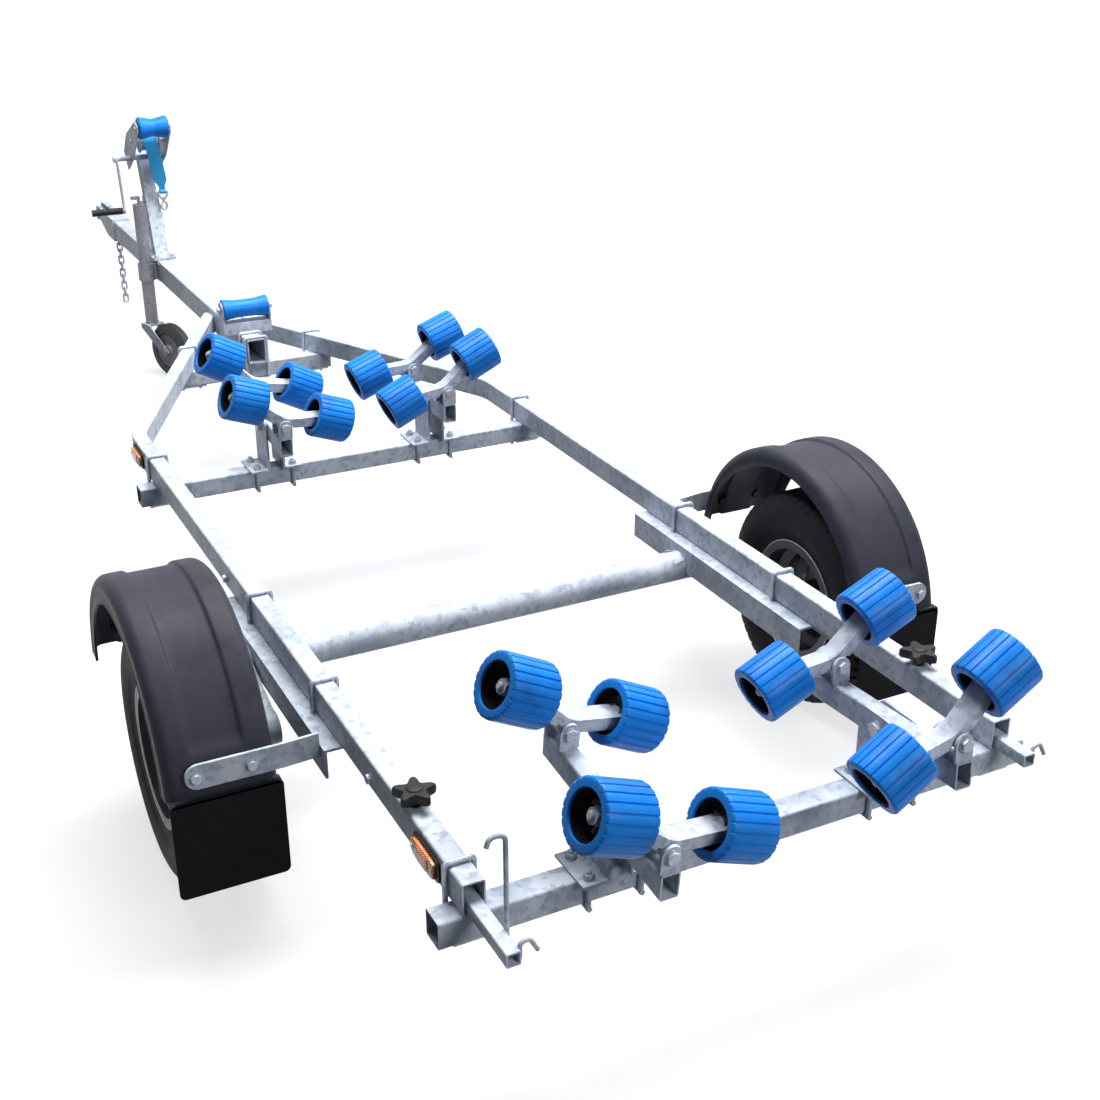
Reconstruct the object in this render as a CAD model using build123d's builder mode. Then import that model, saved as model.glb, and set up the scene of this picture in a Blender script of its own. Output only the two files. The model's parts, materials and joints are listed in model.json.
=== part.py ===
"""Roller boat trailer: a bolted galvanised frame with swinging roller cradles.

Millimetres. X points to the right seen from behind, Y points forward to the coupling, Z up.
The ground is Z = 0 and the frame's middle is X = 0. Places along the frame are measured
from the rear ends of the two side rails.
"""
from build123d import *
from math import atan, cos, radians, sin
import os

os.makedirs("parts", exist_ok=True)

# Driving sizes of the whole trailer
overall_length = 5374.4
rear_overhang = 210.4
tyre_radius = 255.0
tyre_width = 176.0
wheel_track = 1500.0
frame_top = 419.0
rail_width = 40.0
rail_height = 60.0
tube_wall = 3.0
rail_spacing = 1052.0
overrun = 5.0
pin_play = 0.05
running_gap = 3.0
seat_gap = 0.3

# Places along the frame, forward of the rails' rear ends, and the drawbar's nose behind the coupling's
coupling_overhang = 234.0
post_setback = 830.0
rail_tail = rear_overhang - overall_length / 2
axle_at = rail_tail + 1032.0
wheel_at = rail_tail + 838.0
front_beam_at = rail_tail + 1974.0
bend_at = rail_tail + 2215.0
nose_beam_at = rail_tail + 2890.0
drawbar_tail = rail_tail + 2850.0
drawbar_nose = overall_length / 2 - coupling_overhang
post_at = drawbar_nose - post_setback

# Box sections
beam_size = 50.0
beam_length = 1174.0
nose_beam_length = 500.0
drawbar_width = 60.0
drawbar_height = 80.0
drawbar_wall = 4.0
bend_radius = 170.0
section_corner = 5.0

frame_base = frame_top - rail_height
rail_x = rail_spacing / 2
beam_z = frame_base - beam_size / 2
rear_beam_at = rail_tail + beam_size / 2
drawbar_top = frame_base + drawbar_height
drawbar_z = frame_base + drawbar_height / 2
sides = ((-1, "left"), (1, "right"))


def save(part, label):
    """Label one finished piece and write it as its own STEP file."""
    part.label = label
    export_step(part, f"parts/{label}.step")


def box_section(width, height, wall):
    """Draw a rolled box section round the sketch's own origin."""
    RectangleRounded(width, height, section_corner)
    Rectangle(width - 2 * wall, height - 2 * wall, mode=Mode.SUBTRACT)


# Side rails: one long box tube each, bent inwards to the drawbar
rail_end_gap = 1.0
rail_inset = rail_x - drawbar_width / 2 - rail_end_gap
rail_reach = 1085.0
knob_offset = 235.0
knob_at = rail_tail + knob_offset
knob_stem = 6.0

for side, name in sides:
    with BuildPart() as rail:
        with BuildLine(Plane.XY.offset(frame_top - rail_height / 2)) as route:
            straight = Line((side * rail_x, rail_tail), (side * rail_x, bend_at))
            inward = Line((side * rail_x, bend_at), (side * (rail_x - rail_inset), bend_at + rail_reach))
            fillet(route.vertices().sort_by(Axis.Y)[1], radius=bend_radius)
        with BuildSketch(Plane(origin=(side * rail_x, rail_tail, frame_top - rail_height / 2),
                               x_dir=(1, 0, 0), z_dir=(0, 1, 0))):
            box_section(rail_width, rail_height, tube_wall)
        sweep()
        split(bisect_by=Plane.YZ.offset(side * (drawbar_width / 2 + rail_end_gap)),
              keep=Keep.TOP if side > 0 else Keep.BOTTOM)
        with BuildSketch(Plane.XY.offset(frame_top - rail_height / 2)):
            with Locations((side * rail_x, knob_at)):
                Circle(knob_stem + seat_gap)
        extrude(amount=rail_height, mode=Mode.SUBTRACT)
    save(rail.part, f"rail_{name}")

# Drawbar: the deep box tube that lies between the rails' front ends
with BuildPart() as drawbar:
    with BuildSketch(Plane.XZ.offset(-drawbar_tail)):
        with Locations((0, drawbar_z)):
            box_section(drawbar_width, drawbar_height, drawbar_wall)
    extrude(amount=drawbar_tail - drawbar_nose)
save(drawbar.part, "drawbar")

# Cross members: three box tubes under the rails
beams = (("rear", rear_beam_at, beam_length), ("front", front_beam_at, beam_length),
         ("nose", nose_beam_at, nose_beam_length))
with BuildPart() as cross_members:
    for label, place, length in beams:
        with BuildSketch(Plane.YZ.offset(-length / 2)):
            with Locations((place, beam_z)):
                box_section(beam_size, beam_size, tube_wall)
        extrude(amount=length)
save(cross_members.part, "cross_members")

# Axle: round tube, two folded side channels, trailing arms and stub axles
axle_radius = 36.0
axle_wall = 5.0
axle_z = frame_top - 113.0
channel_width = 104.0
channel_depth = 60.0
channel_wall = 5.0
channel_length = 694.0
channel_at = rail_tail + 896.0
channel_nose_radius = 35.0
channel_clamps = (rail_tail + 690.0, rail_tail + 1104.0)
bolt_radius = 5.0
arm_thickness = 30.0
arm_x = rail_x + 72.0
arm_eye = 34.0
arm_root = 42.0
arm_taper = 0.8
stub_radius = 17.0
stub_overrun = 22.0
stub_end = wheel_track / 2 + stub_overrun
wheel_z = tyre_radius

with BuildPart() as axle_frame:
    with BuildSketch(Plane.YZ.offset(-arm_x)):
        with Locations((axle_at, axle_z)):
            Circle(axle_radius)
            Circle(axle_radius - axle_wall, mode=Mode.SUBTRACT)
    extrude(amount=2 * arm_x)
    for side, name in sides:
        with BuildSketch(Plane.XZ.offset(-(channel_at - channel_length / 2))):
            with Locations((side * rail_x, frame_base - channel_depth / 2)):
                Rectangle(channel_width, channel_depth)
            with Locations((side * rail_x, frame_base - (channel_depth + channel_wall) / 2 - overrun / 2)):
                Rectangle(channel_width - 2 * channel_wall, channel_depth - channel_wall + overrun,
                          mode=Mode.SUBTRACT)
        extrude(amount=-channel_length)
        with BuildSketch(Plane.XY.offset(frame_base - 2 * channel_wall)):
            for clamp_y in channel_clamps:
                with Locations((side * rail_x - rail_width / 2 - bolt_radius - seat_gap, clamp_y),
                               (side * rail_x + rail_width / 2 + bolt_radius + seat_gap, clamp_y)):
                    Circle(bolt_radius + seat_gap)
        extrude(amount=4 * channel_wall, mode=Mode.SUBTRACT)
        for centre, radius in ((axle_at, arm_root), (wheel_at, arm_eye)):
            height = axle_z if centre == axle_at else wheel_z
            with BuildSketch(Plane.YZ.offset(side * arm_x - arm_thickness / 2)):
                with Locations((centre, height)):
                    Circle(radius)
            extrude(amount=arm_thickness)
        with BuildSketch(Plane.YZ.offset(side * arm_x - arm_thickness / 2)):
            with BuildLine():
                Polyline((axle_at, axle_z + arm_eye), (wheel_at, wheel_z + arm_eye * arm_taper),
                         (wheel_at, wheel_z - arm_eye * arm_taper), (axle_at, axle_z - arm_eye), close=True)
            make_face()
        extrude(amount=arm_thickness)
        with BuildSketch(Plane.YZ.offset(side * arm_x)):
            with Locations((wheel_at, wheel_z)):
                Circle(stub_radius)
        extrude(amount=side * (stub_end - arm_x))
save(axle_frame.part, "axle_frame")

# Wheels: wide ten-inch tyres on pressed steel rims with plain hubs
flange_radius = 144.0
seat_radius = 127.0
well_radius = 108.0
rim_width = 160.0
rim_wall = 4.0
hub_radius = 36.0
hub_flange_radius = 62.0
hub_flange_thickness = 9.0
cap_radius = 24.0
cap_reach = 46.0
disc_offset = 12.0
disc_rise = 14.0
slot_radius = 10.0
slot_count = 8
bead_width = 12.0
bead_gap = 0.3
carcass = 16.0
shoulder = 20.0
shoulder_drop = 5.0
shoulder_step = 8.0
shoulder_start = 4.0
hub_start = arm_x + arm_thickness / 2 + running_gap - wheel_track / 2
stub_reach = stub_end - wheel_track / 2


def wheel_place(side):
    """The wheel's own frame: X forward, Z up, Y along the axle towards the middle on the right."""
    return Location(Plane(origin=(side * wheel_track / 2, wheel_at, wheel_z), x_dir=(0, 1, 0), z_dir=(0, 0, 1)))


for side, name in sides:
    half = tyre_width / 2
    bead = rim_width / 2 - rim_wall - bead_gap
    inside = seat_radius + bead_gap
    widest = (tyre_radius + flange_radius) / 2
    outline = [(inside, bead - bead_width), (inside, bead), (flange_radius + rim_wall, bead),
               (widest, half), (tyre_radius - shoulder, half - shoulder_start),
               (tyre_radius - shoulder_drop, half - shoulder_step), (tyre_radius, half - shoulder)]
    cavity = [(tyre_radius - carcass, half - 2 * carcass), (widest, half - carcass)]
    with BuildPart() as tyre:
        with BuildSketch():
            with BuildLine():
                Polyline(*outline, *[(r, -a) for r, a in reversed(outline)],
                         *[(r, -a) for r, a in reversed(cavity)], *cavity, close=True)
            make_face()
        revolve(axis=Axis.Y)
    tyre.part = wheel_place(side) * tyre.part
    save(tyre.part, f"tyre_{name}")

    out = -side
    lip = rim_width / 2
    barrel = [(flange_radius, lip), (flange_radius, lip - rim_wall), (seat_radius, lip - rim_wall),
              (seat_radius, lip / 2), (well_radius, lip / 3)]
    bore = [(well_radius - rim_wall, lip / 3 - rim_wall / 2), (seat_radius - rim_wall, lip / 2 - rim_wall / 2),
            (seat_radius - rim_wall, lip)]
    with BuildPart() as rim:
        with BuildSketch():
            with BuildLine():
                Polyline(*barrel, *[(r, -a) for r, a in reversed(barrel)],
                         *[(r, -a) for r, a in reversed(bore)], *bore, close=True)
            make_face()
            with BuildLine():
                Polyline((hub_radius - rim_wall, out * disc_offset),
                         (hub_flange_radius, out * disc_offset),
                         ((hub_flange_radius + well_radius) / 2, out * (disc_offset + disc_rise)),
                         (well_radius - rim_wall / 2, out * disc_offset / 2),
                         (well_radius - rim_wall / 2, out * (disc_offset / 2 - rim_wall)),
                         ((hub_flange_radius + well_radius) / 2, out * (disc_offset + disc_rise - rim_wall)),
                         (hub_flange_radius, out * (disc_offset - rim_wall)),
                         (hub_radius - rim_wall, out * (disc_offset - rim_wall)), close=True)
            make_face()
            with BuildLine():
                Polyline((stub_radius + pin_play, out * hub_start), (hub_radius, out * hub_start),
                         (hub_radius, out * (disc_offset - rim_wall - hub_flange_thickness)),
                         (hub_flange_radius, out * (disc_offset - rim_wall - hub_flange_thickness)),
                         (hub_flange_radius, out * (disc_offset - rim_wall)),
                         (hub_radius, out * (disc_offset - rim_wall)), (hub_radius, out * disc_offset),
                         (cap_radius, out * disc_offset), (cap_radius, out * (cap_reach - rim_wall)),
                         (cap_radius - rim_wall, out * cap_reach), (0, out * cap_reach),
                         (0, out * (stub_reach + rim_wall)),
                         (stub_radius + pin_play, out * (stub_reach + rim_wall)), close=True)
            make_face()
        revolve(axis=Axis.Y)
        with BuildSketch(Plane.XZ.offset(-lip)):
            with PolarLocations((hub_flange_radius + well_radius) / 2, slot_count):
                Circle(slot_radius)
        extrude(amount=2 * lip, mode=Mode.SUBTRACT)
    rim.part = wheel_place(side) * rim.part
    save(rim.part, f"rim_{name}")

# Mudguards: moulded arches with a sunken middle band, deep side skirts and a flat flap
mudguard_radius = 337.0
mudguard_width = 206.0
mudguard_wall = 4.0
mudguard_skirt = 40.0
mudguard_x = 762.0
mudguard_at = rail_tail + 900.0
band_width = 86.0
band_depth = 6.0
band_slope = 5.0
edge_round = 22.0
edge_middle = 7.0
front_angle = 11.0
rear_angle = 170.0
flap_width = 196.0
flap_drop = 196.0
flap_wall = 5.0
flap_corner = 12.0
ledge_depth = 22.0

for side, name in sides:
    edge = mudguard_width / 2
    skin = [(mudguard_radius - mudguard_skirt, edge), (mudguard_radius - edge_round, edge),
            (mudguard_radius - edge_middle, edge - edge_middle), (mudguard_radius, edge - edge_round),
            (mudguard_radius, band_width / 2 + band_slope), (mudguard_radius - band_depth, band_width / 2)]
    lining = [(mudguard_radius - band_depth - mudguard_wall, band_width / 2 - mudguard_wall / 2),
              (mudguard_radius - mudguard_wall, band_width / 2 + band_slope - mudguard_wall / 2),
              (mudguard_radius - mudguard_wall, edge - edge_round - mudguard_wall / 2),
              (mudguard_radius - edge_middle - mudguard_wall, edge - edge_middle - mudguard_wall / 2),
              (mudguard_radius - edge_round - mudguard_wall / 2, edge - mudguard_wall),
              (mudguard_radius - mudguard_skirt, edge - mudguard_wall)]
    with BuildPart() as mudguard:
        with BuildSketch():
            with BuildLine():
                Polyline(*skin, *[(r, -a) for r, a in reversed(skin)],
                         *[(r, -a) for r, a in reversed(lining)], *lining, close=True)
            make_face()
        revolve(axis=Axis((0, 0, 0), (0, -1, 0)), revolution_arc=rear_angle - front_angle)
    tilt = radians(front_angle)
    mudguard.part = Location(Plane(origin=(side * mudguard_x, mudguard_at, wheel_z), x_dir=(0, cos(tilt), sin(tilt)),
                                   z_dir=(0, -sin(tilt), cos(tilt)))) * mudguard.part
    flap_top = wheel_z + mudguard_radius * sin(radians(rear_angle)) + flap_wall
    flap_at = mudguard_at + mudguard_radius * cos(radians(rear_angle)) - ledge_depth / 2
    with BuildPart() as flap:
        with BuildSketch(Plane.XZ.offset(-flap_at)):
            with Locations((side * mudguard_x, flap_top - (flap_drop + flap_corner) / 2)):
                RectangleRounded(flap_width, flap_drop + flap_corner, flap_corner)
        extrude(amount=-flap_wall)
        with BuildSketch(Plane.XY.offset(flap_top - 2 * flap_wall)):
            with Locations((side * mudguard_x, flap_at + ledge_depth / 2)):
                Rectangle(flap_width, ledge_depth)
        extrude(amount=2 * flap_wall)
        add(mudguard.part)
    save(flap.part, f"mudguard_{name}")

# Mudguard stays: flat bars, bent once, bolted to the arch and welded to the channels
stay_height = 50.0
stay_thickness = 6.0
stay_drop = 59.0
stay_overlap = 68.0
stay_bend_gap = 5.0
stay_bolt_radius = 6.0
stay_bolt_gap = 106.0
stay_z = frame_top - stay_drop
stay_end_x = mudguard_x + stay_overlap
stay_bend_x = mudguard_x - mudguard_width / 2 - stay_bend_gap
low_edge = stay_z - stay_height / 2 - wheel_z
stay_stand = (mudguard_radius ** 2 - low_edge ** 2) ** 0.5 + seat_gap + stay_thickness / 2
channel_side = rail_x + channel_width / 2

with BuildPart() as mudguard_stays:
    for side, name in sides:
        for end in (-1, 1):
            stay_y = mudguard_at + end * stay_stand
            root_y = channel_at + end * (channel_length / 2 - stay_height / 2)
            with BuildSketch(Plane.XY.offset(stay_z - stay_height / 2)):
                with BuildLine():
                    line = Polyline((side * (channel_side + stay_thickness / 2 + seat_gap), root_y), (side * stay_bend_x, stay_y),
                                    (side * stay_end_x, stay_y))
                    offset(line, amount=stay_thickness / 2, side=Side.BOTH)
                make_face()
            extrude(amount=stay_height)
            with BuildSketch(Plane.XZ.offset(-(stay_y - stay_thickness))):
                with Locations((side * (stay_end_x + stay_thickness - stay_height / 4), stay_z)):
                    Rectangle(stay_height / 2 + 2 * stay_thickness, stay_height)
                with Locations((side * (stay_end_x - stay_height / 2), stay_z)):
                    Circle(stay_height / 2, mode=Mode.SUBTRACT)
            extrude(amount=-2 * stay_thickness, mode=Mode.SUBTRACT)
            with BuildSketch(Plane.XZ.offset(-stay_y)):
                with Locations((side * (stay_end_x - stay_height / 2), stay_z),
                               (side * (stay_end_x - stay_height / 2 - stay_bolt_gap), stay_z)):
                    Circle(stay_bolt_radius)
            extrude(amount=-end * stay_thickness)
save(mudguard_stays.part, "mudguard_stays")

# Square U-bolts that clamp rails and drawbar to what crosses under them
bolt_tail = 14.0
nut_size = 8.5
nut_height = 8.0
clamp_plate = 6.0
clamp_plate_width = 44.0


def u_bolt(x, y, half, top, bottom, turn=0.0):
    """One square U-bolt over a tube: two legs, the bridge over them and a nut on each leg."""
    where = Plane(origin=(x, y, 0), x_dir=(cos(radians(turn)), sin(radians(turn)), 0), z_dir=(0, 0, 1))
    bridge = Plane(origin=(x, y, top + bolt_radius + seat_gap), x_dir=(0, 0, 1), z_dir=where.x_dir)
    reach = half + bolt_radius + seat_gap
    with BuildPart() as bolt:
        with BuildSketch(where.offset(bottom - bolt_tail)):
            with Locations((-reach, 0), (reach, 0)):
                Circle(bolt_radius)
        extrude(amount=top + bolt_radius + seat_gap - bottom + bolt_tail)
        with BuildSketch(where.offset(bottom - nut_height)):
            with Locations((-reach, 0), (reach, 0)):
                RegularPolygon(nut_size, 6)
        extrude(amount=nut_height)
        with BuildSketch(bridge.offset(-reach - bolt_radius)):
            Circle(bolt_radius)
        extrude(amount=2 * (reach + bolt_radius))
    return bolt.part


def under_plate(x, y, length, breadth, top):
    """The clamp plate that a U-bolt's nuts draw up under a cross member."""
    with BuildPart() as plate:
        with BuildSketch(Plane.XY.offset(top - clamp_plate)):
            with Locations((x, y)):
                Rectangle(length, breadth)
        extrude(amount=clamp_plate)
    return plate.part


beam_base = frame_base - beam_size
leg_gap = beam_size / 2 + bolt_radius + seat_gap
plate_long = beam_size + 4 * bolt_radius
rail_slope = rail_inset / rail_reach
nose_clamp_x = rail_x - (nose_beam_at + leg_gap - bend_at) * rail_slope
nose_clamp_half = (rail_width / 2 + bolt_radius + seat_gap) / cos(atan(rail_slope)) - bolt_radius - seat_gap
clamps = []

for side, name in sides:
    for beam_y in (rear_beam_at, front_beam_at):
        clamps.append(u_bolt(side * rail_x, beam_y + leg_gap, rail_width / 2, frame_top, beam_base - clamp_plate))
        clamps.append(under_plate(side * rail_x, beam_y + leg_gap / 2, rail_width + 6 * bolt_radius, plate_long,
                                  beam_base))
    for clamp_y in channel_clamps:
        clamps.append(u_bolt(side * rail_x, clamp_y, rail_width / 2, frame_top, frame_base - channel_wall))
    clamps.append(u_bolt(side * nose_clamp_x, nose_beam_at + leg_gap, nose_clamp_half, frame_top,
                         beam_base - clamp_plate))
    clamps.append(under_plate(side * nose_clamp_x, nose_beam_at + leg_gap / 2, rail_width + 7 * bolt_radius,
                              plate_long, beam_base))
for reach in (-leg_gap, leg_gap):
    clamps.append(u_bolt(0, nose_beam_at + reach, drawbar_width / 2, drawbar_top, beam_base - clamp_plate))
clamps.append(under_plate(0, nose_beam_at, drawbar_width + 6 * bolt_radius, beam_size + 8 * bolt_radius, beam_base))
save(Part() + clamps, "u_bolts")

# Cradles: where each stands, how its rollers lean with the hull, and how its arm is cut
arm_width = 34.0
arm_height = 50.0
arm_wall = 3.0
pivot_radius = 8.0
nut_share = 1.6
head_share = 1.4
bush_radius = 13.0
ear_thickness = 5.0
ear_length = 100.0
ear_rise = 27.0
ear_corner = 16.0
ear_play = 1.0
foot_width = 46.0
foot_bolt = 49.0
swivel_rise = 32.0
swivel_ear = 6.0
swivel_gap = 46.0
swivel_half = 18.0
# label, side, beam's place, sideways place, arm's height above the frame, reach to a swivel, arm's half length
cradles = (("rear_left", -1, rear_beam_at, 280.0, 41.0, 163.0, 195.0),
           ("rear_right", 1, rear_beam_at, 280.0, 41.0, 163.0, 195.0),
           ("front_left", -1, front_beam_at, 230.0, 54.0, 124.0, 153.0),
           ("front_right", 1, front_beam_at, 230.0, 54.0, 124.0, 153.0))
# how each arm has come to rest: its own tilt, then the lean of its aft and its fore V bracket, in degrees
resting = {"rear_left": (5.7, 22.5, 28.0), "rear_right": (-3.2, 30.5, 23.5),
           "front_left": (6.1, 21.0, 28.5), "front_right": (-1.6, 24.5, 20.0)}

# Keel roller: how far it stands ahead of the drawbar's tail and above its top
keel_offset = 108.0
keel_rise = 78.0
keel_length = 147.0
keel_end_radius = 34.0
keel_middle_radius = 29.0
keel_waist_radius = 28.0
keel_channel_height = 36.0
keel_channel_width = 50.0
keel_at = drawbar_tail + keel_offset
keel_z = drawbar_top + keel_rise

with BuildPart() as roller_brackets:
    for label, side, place, across, rise, reach, half in cradles:
        arm_z = frame_top + rise
        for hand in (-1, 1):
            inner = side * across + hand * (arm_width / 2 + ear_play)
            with BuildSketch(Plane.YZ.offset(inner)):
                with BuildLine():
                    outline = Polyline((place - ear_length / 2, frame_base), (place + ear_length / 2, frame_base),
                                       (place + ear_length / 2, arm_z + ear_rise),
                                       (place - ear_length / 2, arm_z + ear_rise), close=True)
                make_face()
                fillet(vertices().group_by(Axis.Y)[-1], radius=ear_corner)
            extrude(amount=hand * ear_thickness)
            with BuildSketch(Plane.XY.offset(frame_base)):
                with Locations((inner + hand * (foot_width + ear_thickness) / 2, place)):
                    Rectangle(foot_width + ear_thickness, ear_length)
            extrude(amount=ear_thickness)
        with BuildSketch(Plane.YZ.offset(side * across - arm_width / 2 - ear_play - 2 * ear_thickness)):
            with Locations((place, arm_z)):
                Circle(pivot_radius)
        extrude(amount=arm_width + 2 * ear_play + 4 * ear_thickness)
        for hand in (-1, 1):
            with BuildSketch(Plane.YZ.offset(side * across + hand * (arm_width / 2 + ear_play + ear_thickness))):
                with Locations((place, arm_z)):
                    RegularPolygon(pivot_radius * nut_share, 6)
            extrude(amount=hand * ear_thickness * head_share)
            with BuildSketch(Plane.XY.offset(beam_base - nut_height)):
                with Locations((side * across + hand * foot_bolt, place - leg_gap),
                               (side * across + hand * foot_bolt, place + leg_gap)):
                    Circle(bolt_radius)
            extrude(amount=beam_size + ear_thickness + 2 * nut_height)
            with BuildSketch(Plane.XY.offset(frame_base + ear_thickness)):
                with Locations((side * across + hand * foot_bolt, place - leg_gap),
                               (side * across + hand * foot_bolt, place + leg_gap)):
                    RegularPolygon(nut_size, 6)
            extrude(amount=nut_height)
            with BuildSketch(Plane(origin=(side * across + hand * foot_bolt, place, beam_base - bolt_radius - seat_gap),
                                   x_dir=(1, 0, 0), z_dir=(0, 1, 0)).offset(-leg_gap - bolt_radius)):
                Circle(bolt_radius)
            extrude(amount=2 * (leg_gap + bolt_radius))

    # Keel roller's bracket: a short channel across the drawbar's tail with a tall ear at each end
    with BuildSketch(Plane.YZ.offset(-keel_length / 2 - ear_play)):
        with Locations((keel_at, drawbar_top + keel_channel_height / 2)):
            Rectangle(keel_channel_width, keel_channel_height)
        with Locations((keel_at, drawbar_top + keel_channel_height / 2 - ear_thickness)):
            Rectangle(keel_channel_width - 2 * ear_thickness, keel_channel_height, mode=Mode.SUBTRACT)
    extrude(amount=keel_length + 2 * ear_play)
    for hand in (-1, 1):
        with BuildSketch(Plane.YZ.offset(hand * (keel_length / 2 + ear_play))):
            with Locations((keel_at, (drawbar_top + keel_z) / 2)):
                Rectangle(keel_channel_width, keel_z - drawbar_top)
            with Locations((keel_at, keel_z)):
                Circle(keel_channel_width / 2)
        extrude(amount=hand * ear_thickness)
    with BuildSketch(Plane.YZ.offset(-keel_length / 2 - 3 * ear_thickness)):
        with Locations((keel_at, keel_z)):
            Circle(pivot_radius)
    extrude(amount=keel_length + 6 * ear_thickness)
save(roller_brackets.part, "roller_brackets")

with BuildPart() as keel_roller:
    with BuildSketch(Plane.XY):
        with BuildLine():
            Polyline((keel_length / 2, pivot_radius + pin_play), (keel_length / 2, keel_end_radius - seat_gap),
                     (keel_length / 2 - ear_thickness, keel_end_radius), (keel_length / 4, keel_middle_radius),
                     (0, keel_waist_radius), (-keel_length / 4, keel_middle_radius),
                     (-keel_length / 2 + ear_thickness, keel_end_radius),
                     (-keel_length / 2, keel_end_radius - seat_gap), (-keel_length / 2, pivot_radius + pin_play),
                     close=True)
        make_face()
    revolve(axis=Axis.X)
keel_roller.part = Pos(0, keel_at, keel_z) * keel_roller.part
save(keel_roller.part, "keel_roller")

# Swinging arms: a box tube on the cradle pivot with a pair of swivel ears near each end
for label, side, place, across, rise, reach, half in cradles:
    arm_z = frame_top + rise
    with BuildPart() as arm:
        with BuildSketch(Plane.XZ.offset(half)):
            box_section(arm_width, arm_height, arm_wall)
        extrude(amount=-2 * half)
        with BuildSketch(Plane.YZ.offset(-arm_width / 2)):
            Circle(bush_radius)
        extrude(amount=arm_width)
        with BuildSketch(Plane.YZ.offset(-arm_width)):
            Circle(pivot_radius + pin_play)
        extrude(amount=2 * arm_width, mode=Mode.SUBTRACT)
        for end in (-1, 1):
            for face in (-1, 1):
                with BuildSketch(Plane.XZ.offset(-(end * reach + face * swivel_gap / 2))):
                    with Locations((0, arm_height / 2 + swivel_rise / 2)):
                        Rectangle(2 * swivel_half, swivel_rise)
                    with Locations((0, arm_height / 2 + swivel_rise)):
                        Circle(swivel_half)
                extrude(amount=-face * swivel_ear)
            with BuildSketch(Plane.XZ.offset(-(end * reach - swivel_gap / 2 - 2 * swivel_ear))):
                with Locations((0, arm_height / 2 + swivel_rise)):
                    Circle(pivot_radius)
            extrude(amount=-(swivel_gap + 4 * swivel_ear))
    arm.part = Pos(side * across, place, arm_z) * Rot(resting[label][0], 0, 0) * arm.part
    save(arm.part, f"arm_{label}")

# V brackets: a pressed channel bent up to both sides, with a pivot tube below and a spindle at each tip
vee_width = 40.0
vee_depth = 18.0
vee_wall = 4.0
vee_bend = 60.0
vee_dip = 10.0
tube_radius = 14.0
tube_play = 1.0
roller_offset = 119.5
roller_lift = 42.0
roller_radius = 57.5
roller_length = 97.0
bore_radius = 41.0
roller_hub_radius = 18.0
roller_hub_length = 14.0
spoke_count = 5
spoke_width = 7.0
groove_count = 22
groove_width = 3.6
groove_depth = 3.0
roller_edge = 5.0
tip_gap = 11.0
end_float = 0.5
vee_tip = roller_offset - roller_hub_length / 2 - tip_gap
boss_radius = 13.0
spindle_tail = 14.0

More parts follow.
